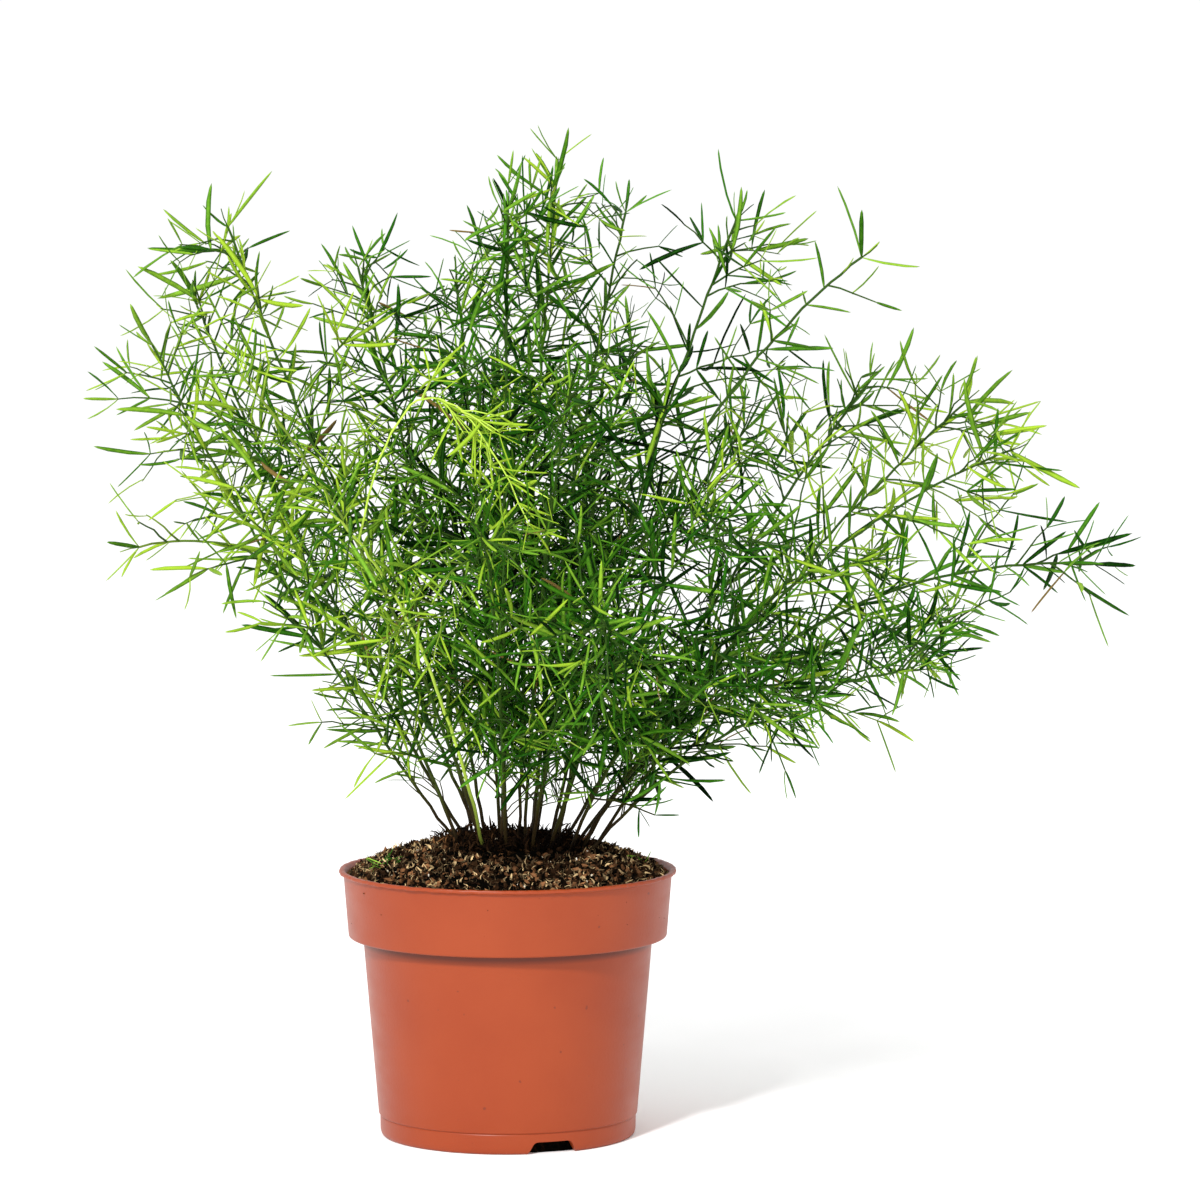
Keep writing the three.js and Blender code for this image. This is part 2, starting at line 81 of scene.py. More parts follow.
# %% Camera
CAMERA_PLACE = (0.0328, -2.0, 0.362)
CAMERA_DOWN = math.radians(4.896)
CAMERA_LENS, CAMERA_SENSOR = 170.0, 36.0


def in_scene(name, data):
    """A new object in the scene for a camera, a lamp or a mesh."""
    made = bpy.data.objects.new(name, data)
    bpy.context.scene.collection.objects.link(made)
    return made


camera_data = bpy.data.cameras.new("camera")
camera_data.lens = CAMERA_LENS
camera_data.sensor_width = CAMERA_SENSOR
camera = in_scene("camera", camera_data)
camera.location = CAMERA_PLACE
camera.rotation_euler = (math.pi / 2 - CAMERA_DOWN, 0, 0)
bpy.context.scene.camera = camera
print("camera at", CAMERA_PLACE, "with a lens of", CAMERA_LENS, "mm")

# %% Light
DOME_STRENGTH = 1.02

world = bpy.data.worlds.new("studio")
world.use_nodes = True
dome = world.node_tree.nodes["Background"].inputs
dome["Color"].default_value = (1, 1, 1, 1)
dome["Strength"].default_value = DOME_STRENGTH
bpy.context.scene.world = world
bpy.context.scene.view_settings.view_transform = "Standard"


def square_lamp(name, place, aim, side, watts):
    """A square lamp that faces the point aim."""
    data = bpy.data.lights.new(name, "AREA")
    data.size = side
    data.energy = watts
    lamp = in_scene(name, data)
    lamp.location = place
    lamp.rotation_euler = (Vector(aim) - Vector(place)).to_track_quat("-Z", "Y").to_euler()
    print(name, "has a side of", side, "m and", watts, "W")


square_lamp("key_lamp", (-0.7, -1.8, 1.55), (0, 0, 0.2), 0.25, 60)
square_lamp("fill_lamp", (1.6, -1.4, 0.9), (0, 0, 0.15), 1.2, 3)

# %% [markdown]
# ## Helpers for nodes and materials
#
# Materials and Geometry Nodes are both trees of nodes. They could be drawn by hand in the node
# editor, but a tree that is built in code can be read, changed and built again. One helper adds
# a node and feeds its inputs, each with a plain value or with the socket that drives it, so that
# a tree reads from top to bottom like a recipe. The others are short names for what comes back
# often.


# %% Node helpers
def put(tree, kind, feeds=None, **settings):
    """Adds a node. feeds maps an input's name or number to a value or to another node's socket."""
    node = tree.nodes.new(kind)
    for name, value in settings.items():
        setattr(node, name, value)
    for key, value in (feeds or {}).items():
        if isinstance(value, bpy.types.NodeSocket):
            tree.links.new(value, node.inputs[key])
        else:
            node.inputs[key].default_value = value
    return node


def maths(tree, operation, first, second=0.0):
    return put(tree, "ShaderNodeMath", {0: first, 1: second}, operation=operation).outputs[0]


def swing(tree, share, width):
    """A share from 0 to 1, turned into a number that swings round 0 by a width."""
    return maths(tree, "MULTIPLY", maths(tree, "SUBTRACT", share, 0.5), width)


def map_range(tree, value, start, end, low=0.0, high=1.0):
    """Goes from low to high while the value goes from start to end."""
    feeds = {0: value, 1: start, 2: end, 3: low, 4: high}
    return put(tree, "ShaderNodeMapRange", feeds).outputs[0]


def along_axis(tree, vector, axis):
    return put(tree, "ShaderNodeSeparateXYZ", {0: vector}).outputs[axis]


def level_distance(tree, place, centre):
    """How far a place is from a centre, as seen from above."""
    feeds = {0: place, 1: (1, 1, 0)}
    flat = put(tree, "ShaderNodeVectorMath", feeds, operation="MULTIPLY").outputs[0]
    feeds = {0: flat, 1: centre}
    return put(tree, "ShaderNodeVectorMath", feeds, operation="DISTANCE").outputs[1]


def chance(tree, low, high, seed, kind="FLOAT"):
    """A random value for each element, between low and high."""
    first, output = (2, 1) if kind == "FLOAT" else (4, 2)
    feeds = {first: low, first + 1: high, "Seed": seed}
    return put(tree, "FunctionNodeRandomValue", feeds, data_type=kind).outputs[output]


# %% Material helpers
def start_material(name, roughness):
    """A material, its tree and its Principled shader."""
    material = bpy.data.materials.new(name)
    material.use_nodes = True
    tree = material.node_tree
    shader = tree.nodes["Principled BSDF"]
    shader.inputs["Roughness"].default_value = roughness
    return material, tree, shader


def object_place(tree):
    """Where a spot is in the object's own space, so that patterns stay on the piece."""
    return put(tree, "ShaderNodeTexCoord").outputs["Object"]


def object_noise(tree, scale, detail=2.0, stretch=(1, 1, 1)):
    """Noise from 0 to 1 that is fixed to the object's own space."""
    feeds = {"Vector": object_place(tree), "Scale": stretch}
    placed = put(tree, "ShaderNodeMapping", feeds).outputs[0]
    feeds = {"Vector": placed, "Scale": scale, "Detail": detail}
    return put(tree, "ShaderNodeTexNoise", feeds).outputs[0]


def point_value(tree, name):
    """A value that is stored on the points of the mesh."""
    return put(tree, "ShaderNodeAttribute", attribute_name=name).outputs["Fac"]


def ramp(tree, share, stops):
    """Colours over a share from 0 to 1, from a list of (place, linear colour)."""
    node = put(tree, "ShaderNodeValToRGB", {0: share})
    elements = node.color_ramp.elements
    while len(elements) < len(stops):
        elements.new(0.5)
    for element, (place, colour) in zip(elements, stops):
        element.position = place
        element.color = (*colour, 1)
    return node.outputs[0]


def blend_colours(tree, share, under, over):
    feeds = {0: share, 6: under, 7: over}
    return put(tree, "ShaderNodeMix", feeds, data_type="RGBA").outputs[2]


def paint(tree, shader, colour, gloss):
    """Gives the shader its colour, and says how strongly it mirrors light."""
    tree.links.new(colour, shader.inputs["Base Color"])
    shader.inputs["Specular IOR Level"].default_value = gloss


def add_bump(tree, shader, height, depth, strength=1.0):
    feeds = {"Height": height, "Distance": depth, "Strength": strength}
    tree.links.new(put(tree, "ShaderNodeBump", feeds).outputs[0], shader.inputs["Normal"])


def srgb(red, green, blue):
    """A colour as a picture shows it, 0 to 255, turned into the linear numbers a shader takes."""
    shares = [value / 255 for value in (red, green, blue)]
    return tuple(s / 12.92 if s < 0.04045 else ((s + 0.055) / 1.055) ** 2.4 for s in shares)


print("a picture's middle grey in linear numbers:", srgb(128, 128, 128))

# %% [markdown]
# ## Floor
#
# The studio's floor is a white sheet that melts into the background. A curved backdrop could do
# the same, but the dome is already white, so one large flat square is enough.

# %% Floor
FLOOR_REACH = 6.0

floor_mesh = bpy.data.meshes.new("floor")
signs = [(-1, -1), (1, -1), (1, 1), (-1, 1)]
floor_mesh.from_pydata([(x * FLOOR_REACH, y * FLOOR_REACH, 0) for x, y in signs], [], [(0, 1, 2, 3)])
floor = in_scene("floor", floor_mesh)
floor_material, _, floor_shader = start_material("pale_floor", 0.7)
floor_shader.inputs["Base Color"].default_value = (1.0, 1.0, 1.0, 1)
floor_shader.inputs["Specular IOR Level"].default_value = 0.1
floor_mesh.materials.append(floor_material)
print("floor:", 2 * FLOOR_REACH, "m square")

# %% [markdown]
# ## Pot
#
# The real pot is injection moulded from one shot of terracotta-coloured polypropylene: a thin
# tapered body, a wide band that stiffens the rim, a small rolled lip, and a foot with notches
# that let water out. A lathe is the natural way to make it, because every mould for such a pot
# is turned. The profile repeats the solid's corners and rounds each of them, and the notches and
# drain holes are cut out afterwards, as the mould's inserts leave them.

# %% Pot sizes, as in the solid
POT_HEIGHT = 95.0
LIP_RADIUS = 60.0
BAND_RADIUS = (56.6, 58.1)  # at its bottom and at its top
BAND_BOTTOM = 71.0
BODY_RADIUS = (46.1, 51.5)  # at its bottom and at its top
FOOT_RADIUS = 45.6
FOOT_HEIGHT = 7.2
WALL = 1.2
MOAT_RADIUS = (27.0, 42.4)  # the raised ring in the base, from its inner to its outer edge
MOAT_HEIGHT = 4.8
NOTCH_COUNT, NOTCH_TURN = 3, -1.2
NOTCH_WIDE, NOTCH_NARROW, NOTCH_HEIGHT, NOTCH_ARC = 19.0, 13.5, 4.3, 1.4
NOTCH_CUT = (MOAT_RADIUS[1] - 4, MOAT_RADIUS[1] + 6)  # how far in and out the cut reaches
DRAIN_COUNT, DRAIN_STEPS = 6, 24
DRAIN_RADIUS, DRAIN_DISTANCE, DRAIN_CUT = 3.6, 36.5, (1.0, 9.0)
POT_STEPS = 300
print("pot:", 2 * LIP_RADIUS, "mm across and", POT_HEIGHT, "mm high")


# %% Lathe helpers
ARC_STEPS = 4
ARC_LIMIT = 0.45  # an arc takes no more than this share of the sides that it joins


def rounded(corners, steps=ARC_STEPS):
    """A closed outline of (radius, height, rounding) with each corner turned into a small arc."""
    outline = []
    for i, (x, z, rounding) in enumerate(corners):
        here = Vector((x, z))
        if rounding == 0:
            outline.append(here)
            continue
        before = Vector(corners[i - 1][:2]) - here
        after = Vector(corners[(i + 1) % len(corners)][:2]) - here
        start = here + before.normalized() * min(rounding, ARC_LIMIT * before.length)
        end = here + after.normalized() * min(rounding, ARC_LIMIT * after.length)
        for step in range(steps + 1):
            t = step / steps
            outline.append(start * (1 - t) ** 2 + here * (2 * t * (1 - t)) + end * t**2)
    return outline


def mesh_object(name, points, faces, edges=()):
    """An object from points in millimetres."""
    mesh = bpy.data.meshes.new(name)
    mesh.from_pydata([tuple(c * MM for c in point) for point in points], list(edges), faces)
    return in_scene(name, mesh)


def lathe(name, outline, steps):
    """Turns an outline that starts and ends on the Z axis into a closed body."""
    inner = outline[1:-1]
    points = [(0, 0, outline[0][1]), (0, 0, outline[-1][1])]
    for step in range(steps):
        turn = FULL_TURN * step / steps
        points += [(p[0] * math.cos(turn), p[0] * math.sin(turn), p[1]) for p in inner]
    faces = []
    count = len(inner)
    for step in range(steps):
        here = 2 + step * count
        there = 2 + (step + 1) % steps * count
        faces.append((0, there, here))
        faces.append((1, here + count - 1, there + count - 1))
        for i in range(count - 1):
            faces.append((here + i, there + i, there + i + 1, here + i + 1))
    return mesh_object(name, points, faces)


# %% Pot body
LINE_DEPTH = 0.2  # the fine groove round the foot
FINE_ARC, SMALL_ARC, WIDE_ARC = 0.2, 0.6, 1.0

# radius, height and rounding, from the middle of the base outwards, up and down again inside
pot_corners = [
    (0, 0, 0),
    (MOAT_RADIUS[0], 0, SMALL_ARC),
    (MOAT_RADIUS[0] + 3.5, MOAT_HEIGHT, SMALL_ARC),
    (MOAT_RADIUS[1], MOAT_HEIGHT, SMALL_ARC),
    (MOAT_RADIUS[1], 0, 0.4),
    (FOOT_RADIUS - 0.7, 0, WIDE_ARC),
    (FOOT_RADIUS - 0.1, 1.6, WIDE_ARC),
    (FOOT_RADIUS, FOOT_HEIGHT - 0.4, FINE_ARC),
    (FOOT_RADIUS - LINE_DEPTH, FOOT_HEIGHT, 0.15),
    (BODY_RADIUS[0], FOOT_HEIGHT + 0.5, 0.3),
    (BODY_RADIUS[1], BAND_BOTTOM, FINE_ARC),
    (BAND_RADIUS[0], BAND_BOTTOM, 0.9),
    (BAND_RADIUS[1] + 0.3, POT_HEIGHT - 1.7, FINE_ARC),
    (LIP_RADIUS - 0.1, POT_HEIGHT - 1.2, 0.3),
    (LIP_RADIUS - 0.2, POT_HEIGHT, SMALL_ARC),
    (LIP_RADIUS - 1.8, POT_HEIGHT, SMALL_ARC),
    (BAND_RADIUS[1] - WALL, POT_HEIGHT - 1.8, 0.8),
    (BAND_RADIUS[0] - WALL, BAND_BOTTOM + 1.6, WIDE_ARC),
    (BODY_RADIUS[1] - WALL, BAND_BOTTOM + 0.4, WIDE_ARC),
    (BODY_RADIUS[0] - WALL, MOAT_HEIGHT + WALL, WIDE_ARC),
    (MOAT_RADIUS[0] + 3.2, MOAT_HEIGHT + WALL, SMALL_ARC),
    (MOAT_RADIUS[0] - 0.4, WALL, SMALL_ARC),
    (0, WALL, 0),
]
pot = lathe("pot_body", rounded(pot_corners), POT_STEPS)
print("pot lathe:", len(pot.data.vertices), "points")


# %% Blocks that cut the notches and the drain holes
def spoke(turn):
    """The level direction away from the pot's axis, at a turn round it."""
    return Vector((math.cos(turn), math.sin(turn), 0))


def prism(outline, place, low, high):
    """A closed block: outline points of (across, up), pushed from low to high the third way."""
    count = len(outline)
    points = [place(x, y, low) for x, y in outline] + [place(x, y, high) for x, y in outline]
    sides = [(i, (i + 1) % count, count + (i + 1) % count, count + i) for i in range(count)]
    ends = [tuple(reversed(range(count))), tuple(range(count, 2 * count))]
    return points, sides + ends


def notch_block(turn):
    outline = rounded(
        [
            (-NOTCH_WIDE / 2, -1, 0),
            (NOTCH_WIDE / 2, -1, 0),
            (NOTCH_NARROW / 2, NOTCH_HEIGHT, NOTCH_ARC),
            (-NOTCH_NARROW / 2, NOTCH_HEIGHT, NOTCH_ARC),
        ]
    )
    out = spoke(turn)
    side = Vector((-out.y, out.x, 0))

    def place(x, y, away):
        return out * away + side * x + Vector((0, 0, y))

    return prism(outline, place, *NOTCH_CUT)


def drain_block(turn):
    centre = spoke(turn) * DRAIN_DISTANCE
    ring = [FULL_TURN * i / DRAIN_STEPS for i in range(DRAIN_STEPS)]
    outline = [(DRAIN_RADIUS * math.cos(a), DRAIN_RADIUS * math.sin(a)) for a in ring]
    return prism(outline, lambda x, y, z: centre + Vector((x, y, z)), *DRAIN_CUT)


def joined(blocks):
    """The points and the faces of several blocks as one list each."""
    points, faces = [], []
    for block_points, block_faces in blocks:
        faces += [tuple(i + len(points) for i in face) for face in block_faces]
        points += block_points
    return points, faces


notch_turns = [NOTCH_TURN + FULL_TURN * i / NOTCH_COUNT for i in range(NOTCH_COUNT)]
drain_turns = [FULL_TURN * (i + 0.5) / DRAIN_COUNT for i in range(DRAIN_COUNT)]
blocks = [notch_block(turn) for turn in notch_turns] + [drain_block(turn) for turn in drain_turns]
print("blocks that cut the pot:", len(blocks))


# %% Pot cut-outs
def face_outwards(mesh):
    """Turns every face of closed bodies so that it looks outwards."""
    shape = bmesh.new()
    shape.from_mesh(mesh)
    bmesh.ops.recalc_face_normals(shape, faces=shape.faces)
    shape.to_mesh(mesh)
    shape.free()


def evaluated_mesh(piece):
    """The piece with its modifiers worked out, as a plain mesh, and the modifiers gone."""
    bpy.context.view_layer.update()
    graph = bpy.context.evaluated_depsgraph_get()
    mesh = bpy.data.meshes.new_from_object(piece.evaluated_get(graph), depsgraph=graph)
    piece.modifiers.clear()
    old = piece.data
    piece.data = mesh
    bpy.data.meshes.remove(old)
    return mesh


cutter = mesh_object("pot_cutter", *joined(blocks))
face_outwards(cutter.data)
cut = pot.modifiers.new("cut_outs", "BOOLEAN")
cut.object = cutter
cut.operation = "DIFFERENCE"
cut.solver = "EXACT"
evaluated_mesh(pot)
bpy.data.objects.remove(cutter)
print("pot with its cut-outs:", len(pot.data.polygons), "faces")

# %% [markdown]
# ## Lip of the pot
#
# The lip of such a pot is never a clean line: the mould's parting edge leaves a little flash and
# the pot is knocked about in the nursery. A bump in the material would leave its outline
# straight, and the lip stands out against white, so a wobble of a few tenths of a millimetre
# goes into the mesh.

# %% Pot lip
LIP_WOBBLE = 0.34
LIP_DEPTH, LIP_WIDTH = 1.6, 2.6  # the part of the pot that wobbles, down and inwards
LONG_WAVE, SHORT_WAVE, LIFT_WAVE = 30, 75, 22  # a larger number gives shorter waves


def wobble(turn):
    """How far the lip strays at a turn round the pot."""
    seat = spoke(turn)
    rough = noise.noise(seat * LONG_WAVE) + 0.7 * noise.noise(seat * SHORT_WAVE)
    lift = noise.noise(seat * LIFT_WAVE + Vector((7, 0, 0)))
    return (seat * rough + Vector((0, 0, 0.6 * lift))) * LIP_WOBBLE * MM


def smooth_shade(mesh, degrees):
    """Smooth shading, with a crease where two faces meet at more than an angle."""
    mesh.shade_smooth()
    mesh.set_sharp_from_angle(angle=math.radians(degrees))


moved = 0
for vertex in pot.data.vertices:
    x, y, z = vertex.co / MM
    if z >= POT_HEIGHT - LIP_DEPTH and math.hypot(x, y) >= LIP_RADIUS - LIP_WIDTH:
        vertex.co += wobble(math.atan2(y, x))
        moved += 1
smooth_shade(pot.data, 38)
print("points of the lip that were moved:", moved)

# %% [markdown]
# ## Finish of the pot
#
# Moulded polypropylene is satin, almost even in colour, with a soft cloudiness, dark specks of
# pigment and pale scuffs. Just under the band a darker brown is painted shade. Painted textures
# could show all that, but they need pictures and a UV map. Noise on the object's own coordinates
# gives the same marks from a few numbers, and the height on the pot places the painted shade.

# %% Pot finish
BASE_RED = srgb(136, 51, 15)
PALE_RED = srgb(144, 58, 21)
SPECK_BROWN = srgb(104, 42, 26)
# painted shade: a darker brown on the wall just under the band, where the band's overhang shades it
BAND_SHADE_BROWN = srgb(58, 20, 10)
BAND_SHADE_START, BAND_SHADE_FULL, BAND_SHADE_STOP = 3.6, 1.6, 0.2  # millimetres below the band
BAND_SHADE_SHARE = 0.7


def terracotta_plastic():
    material, tree, shader = start_material("terracotta_plastic", 0.36)
    cloudy = ramp(tree, object_noise(tree, 26, 3.0), [(0.3, BASE_RED), (0.75, PALE_RED)])
    speckle = object_noise(tree, 330, 1.0)
    specks = ramp(tree, speckle, [(0.775, (0, 0, 0)), (0.8, (1, 1, 1))])
    colour = blend_colours(tree, maths(tree, "MULTIPLY", specks, 0.75), cloudy, (*SPECK_BROWN, 1))
    height = along_axis(tree, object_place(tree), "Z")
    # painted shade under the band, growing from its start to full just under the band's edge
    start, full = (BAND_BOTTOM - BAND_SHADE_START) * MM, (BAND_BOTTOM - BAND_SHADE_FULL) * MM
    below = map_range(tree, height, start, full, 0.0, BAND_SHADE_SHARE)
    above = map_range(tree, height, (BAND_BOTTOM - BAND_SHADE_STOP) * MM, BAND_BOTTOM * MM, 1.0, 0.0)
    band_shade = maths(tree, "MULTIPLY", below, above)
    paint(tree, shader, blend_colours(tree, band_shade, colour, (*BAND_SHADE_BROWN, 1)), 0.3)
    scuffs = object_noise(tree, 60, 6.0, (1, 1, 3))
    tree.links.new(map_range(tree, scuffs, 0.0, 1.0, 0.3, 0.5), shader.inputs["Roughness"])
    add_bump(tree, shader, object_noise(tree, 900, 2.0), 0.00006, 0.6)
    return material


def finish_piece(piece, slot, *replaced):
    """Every piece of this plant stands still, so it rides on the one body."""
    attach(piece, "root")
    if replaced:
        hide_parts(*replaced)


pot.data.materials.clear()
pot.data.materials.append(terracotta_plastic())
finish_piece(pot, "pot", "pot")
print("pot finish:", pot.data.materials[0].name)

# %% [markdown]
# ## Needles
#
# What looks like leaves on this plant are cladodes: flattened twigs about 19 mm long and 1.6 mm
# wide, pointed at both ends, with a fine midrib. Each is a slim closed blade of 21 faces. Every
# needle could be modelled for its place, but there are thousands. Five shapes, straight, bent
# and twisted, are enough, because turned and scaled copies of them never look alike. A small
# brown scale sits where needles grow. The shapes wait in collections that no scene shows, and
# Geometry Nodes picks from them.


# %% Collections of shapes
def hidden_collection(name, shapes):
    """A collection that no scene shows, for Geometry Nodes to pick shapes from."""
    collection = bpy.data.collections.new(name)
    for shape in shapes:
        for home in list(shape.users_collection):
            home.objects.unlink(shape)
        collection.objects.link(shape)
    return collection


def discard(collection):
    for shape in list(collection.objects):
        bpy.data.objects.remove(shape)
    bpy.data.collections.remove(collection)


# %% Needle shapes
NEEDLE_LENGTH = 21.5
NEEDLE_HALF_WIDTH = 0.8
NEEDLE_HALF_THICK = 0.34
RINGS = [(0.0, 0.26), (0.12, 0.72), (0.38, 1.0), (0.74, 0.95), (0.93, 0.55)]  # place, width


def needle(name, bend, sickle, twist):
    """A blade along +Z whose flat side faces +Y. bend curves it flatwise, sickle edgewise."""
    points, uv_of, faces = [], [], []
    for share, width in RINGS:
        centre = Vector((sickle * share**2, bend * share**2, NEEDLE_LENGTH * share))
        turn = Matrix.Rotation(twist * share, 3, "Z")
        half, thick = NEEDLE_HALF_WIDTH * width, NEEDLE_HALF_THICK * (0.5 + 0.5 * width)
        spokes = ((-half, 0, 0), (0, -thick, 0.5), (half, 0, 1), (0, thick, 0.5))
        for x, y, across in spokes:
            points.append(centre + turn @ Vector((x, y, 0)))
            uv_of.append((across, share))
    for ring in range(len(RINGS) - 1):
        for k in range(4):
            a, b = 4 * ring + k, 4 * ring + (k + 1) % 4
            faces.append((a, b, b + 4, a + 4))
    tip = len(points)
    points.append(Vector((sickle, bend, NEEDLE_LENGTH)))
    uv_of.append((0.5, 1.0))
    last = 4 * (len(RINGS) - 1)
    faces += [(last + k, last + (k + 1) % 4, tip) for k in range(4)]
    faces.append((3, 2, 1, 0))
    shape = mesh_object(name, points, faces)
    layer = shape.data.uv_layers.new(name="UVMap")
    for loop in shape.data.loops:
        layer.data[loop.index].uv = uv_of[loop.vertex_index]
    shape.data.shade_smooth()
    return shape


def scale_leaf(name):
    """The small brown scale that each group of needles grows from, 1.8 mm long."""
    points = [(-0.35, 0, 0), (0.35, 0, 0), (0, 0.4, 0.1), (0, 0.5, 1.8)]
    return mesh_object(name, points, [(0, 2, 1), (0, 1, 3), (1, 2, 3), (2, 0, 3)])


needles = [
    needle("needle_a", 0.8, 0.3, 0.3),
    needle("needle_b", -2.8, 1.2, -0.7),
    needle("needle_c", 3.8, -1.4, 0.8),
    needle("needle_d", 1.6, 3.0, 0.1),
    needle("needle_e", -1.0, -4.2, 0.2),
]
needle_shapes = hidden_collection("needle_shapes", needles)
scale_shapes = hidden_collection("scale_shapes", [scale_leaf("scale_leaf")])
print("needle shapes:", len(needles), "with", len(needles[0].data.polygons), "faces each")

# %% [markdown]
# ## Soil
#
# Potting soil is peat with fibres, bits of bark and a few pale grains. Seen from 2 m it is a dark
# crumbly mound, and its silhouette against the white shows single crumbs. A displaced plane would
# do for the top, but the solid is a whole plug, so the same lathe turns it. The mound's height
# follows the solid's own rule, and noise adds the small relief.

# %% Soil sizes, as in the solid
GAP = 0.3
SOIL_EDGE = 92.3
SOIL_MOUND = 12.0
SOIL_RIM = BAND_RADIUS[1] - WALL


def soil_height(x, y):
    """The mound's height above the floor, with the solid's own low waves."""
    share = min(1.0, math.hypot(x, y) / SOIL_RIM)
    waves = math.sin(0.62 * x + 1) * math.cos(0.55 * y) + 0.7 * math.sin(0.83 * y - 0.41 * x)
    return SOIL_EDGE + SOIL_MOUND * (1 - share**2.8) ** 0.9 + waves * (1 - share**6)


print("soil in the middle:", round(soil_height(0, 0), 2), "mm above the floor")

# %% Soil body
SOIL_STEPS = 150
SOIL_RINGS = 44
LUMP_HEIGHT = 1.3

floor_height = MOAT_HEIGHT + WALL + GAP
soil_outline = [
    (0, WALL + GAP),
    (MOAT_RADIUS[0] - 0.8, WALL + GAP),
    (MOAT_RADIUS[0] + 2.8, floor_height),
    (BODY_RADIUS[0] - WALL - GAP, floor_height),
    (BODY_RADIUS[1] - WALL - GAP, BAND_BOTTOM + 0.8),
    (BAND_RADIUS[0] - WALL - GAP, BAND_BOTTOM + 2),
]
for ring in range(SOIL_RINGS, -1, -1):
    soil_outline.append(((SOIL_RIM - GAP) * ring / SOIL_RINGS, SOIL_EDGE))
soil = lathe("soil_mound", soil_outline, SOIL_STEPS)
for vertex in soil.data.vertices:
    x, y, z = vertex.co / MM
    if z < SOIL_EDGE - 0.01:
        continue
    inside = 1 - min(1.0, math.hypot(x, y) / SOIL_RIM) ** 8
    lumps = noise.noise(Vector((x, y, 0)) * 0.22) + 0.6 * noise.noise(Vector((x, y, 9)) * 0.55)
    vertex.co.z = (soil_height(x, y) + inside * LUMP_HEIGHT * lumps) * MM
smooth_shade(soil.data, 180)
print("soil body:", len(soil.data.vertices), "points")

# %% [markdown]
# ## Finish of the soil
#
# Wet peat is almost black, and what has dried on top is brown to straw-coloured. One material
# rule serves all the soil's pieces, from a dark to a light colour. Every crumb brings a shade of
# its own, fine grain and larger patches are added to it, and round the crown of the plant, where
# the foliage shades the soil, all of it is darker as painted shade.

# %% Soil finish
CROWN_PLACE = (4 * MM, -6 * MM, 0)
# painted shade: how far round the crown the soil is darkened, and by how much
CROWN_SHADE_REACH = (17 * MM, 38 * MM)
CROWN_PAINTED_SHADE = 0.45


def mix(pair, share):
    """A number between the two of a pair."""
    return pair[0] + (pair[1] - pair[0]) * share


def soil_material(name, dark, light, roughness=0.95):
    material, tree, shader = start_material(name, roughness)
    grain = swing(tree, object_noise(tree, 500, 3.0), 0.7)
    patches = swing(tree, object_noise(tree, 60, 2.0), 1.1)
    share = maths(tree, "ADD", maths(tree, "ADD", point_value(tree, "shade"), grain), patches)
    # painted shade round the crown, where the foliage shades the soil
    away = level_distance(tree, object_place(tree), CROWN_PLACE)
    crown = map_range(tree, away, *CROWN_SHADE_REACH, CROWN_PAINTED_SHADE, 0.0)
    share = maths(tree, "SUBTRACT", share, crown)
    middle = tuple(mix(pair, 0.14) for pair in zip(dark, light))
    paint(tree, shader, ramp(tree, share, [(0.0, dark), (0.6, middle), (1.0, light)]), 0.03)
    add_bump(tree, shader, object_noise(tree, 1400, 2.0), 0.0002)
    return material


peat_material = soil_material("peat", srgb(3, 2, 1), srgb(134, 92, 60))
fibre_material = soil_material("peat_fibre", srgb(34, 20, 12), srgb(236, 202, 148))
crown_material = soil_material("crown_brown", srgb(14, 8, 5), srgb(120, 82, 50))
grain_material = soil_material("pale_grain", srgb(190, 176, 150), srgb(245, 240, 228), 0.6)
moss_material = soil_material("moss", srgb(40, 92, 24), srgb(140, 186, 66), 0.6)
soil.data.materials.append(peat_material)
finish_piece(soil, "soil", "soil")
print("soil finish:", soil.data.materials[0].name)

# %% [markdown]
# ## What lies on the soil
#
# Crumbs of peat, fibres, chips of bark and old scales lie loose on the mound. Sculpting them
# would take days, and a physics simulation that drops them would look the same from here. So
# Geometry Nodes scatters points over the upward faces, and sets a tumbled copy of a small shape
# on each. One tree serves every kind of litter. Its inputs say which shapes, how many, how large
# and how far from a place.


# %% Small shapes to scatter
FIBRE_LENGTH = 6.0
BENDS = [
    [(0, 0), (1.0, 0.4), (1.7, 0.2), (1.2, -0.2), (-0.6, 0)],
    [(0, 0), (-1.5, 0.7), (-1.9, 1.0), (-0.3, 0.4), (1.2, -0.4)],
    [(0, 0), (0.3, 0.9), (0.4, 1.3), (0.2, 0.9), (0, 0)],
]


def crumb(name, seed, flatness):
    """A lump of 20 faces, about 2 mm across."""
    shape = bmesh.new()
    bmesh.ops.create_icosphere(shape, subdivisions=1, radius=1.0 * MM)
    for vertex in shape.verts:
        push = 1 + 1.5 * noise.noise(vertex.co / MM * 1.3 + Vector((seed * 7.3, 0, 0)))
        vertex.co *= push
        vertex.co.z *= flatness
    mesh = bpy.data.meshes.new(name)
    shape.to_mesh(mesh)
    shape.free()
    return bpy.data.objects.new(name, mesh)


def tube_faces(rings):
    """The faces of a three-sided tube with closed ends."""
    faces = []
    for i in range(rings - 1):
        for k in range(3):
            a, b = 3 * i + k, 3 * i + (k + 1) % 3
            faces.append((a, b, b + 3, a + 3))
    last = 3 * (rings - 1)
    return faces + [(2, 1, 0), (last, last + 1, last + 2)]


def fibre(name, bends, width, flatness=1.0):
    """A bent three-sided strand, narrow at both ends, or flattened to a curled chip."""
    points = []
    for i, (bend_x, bend_z) in enumerate(bends):
        share = i / (len(bends) - 1)
        radius = width * (0.35 + 0.65 * math.sin(math.pi * share))
        for k in range(3):
            turn = FULL_TURN * k / 3
            y = bend_x + radius * math.cos(turn)
            z = bend_z + flatness * radius * math.sin(turn)
            points.append((FIBRE_LENGTH * (share - 0.5), y, z))
    return mesh_object(name, points, tube_faces(len(bends)))


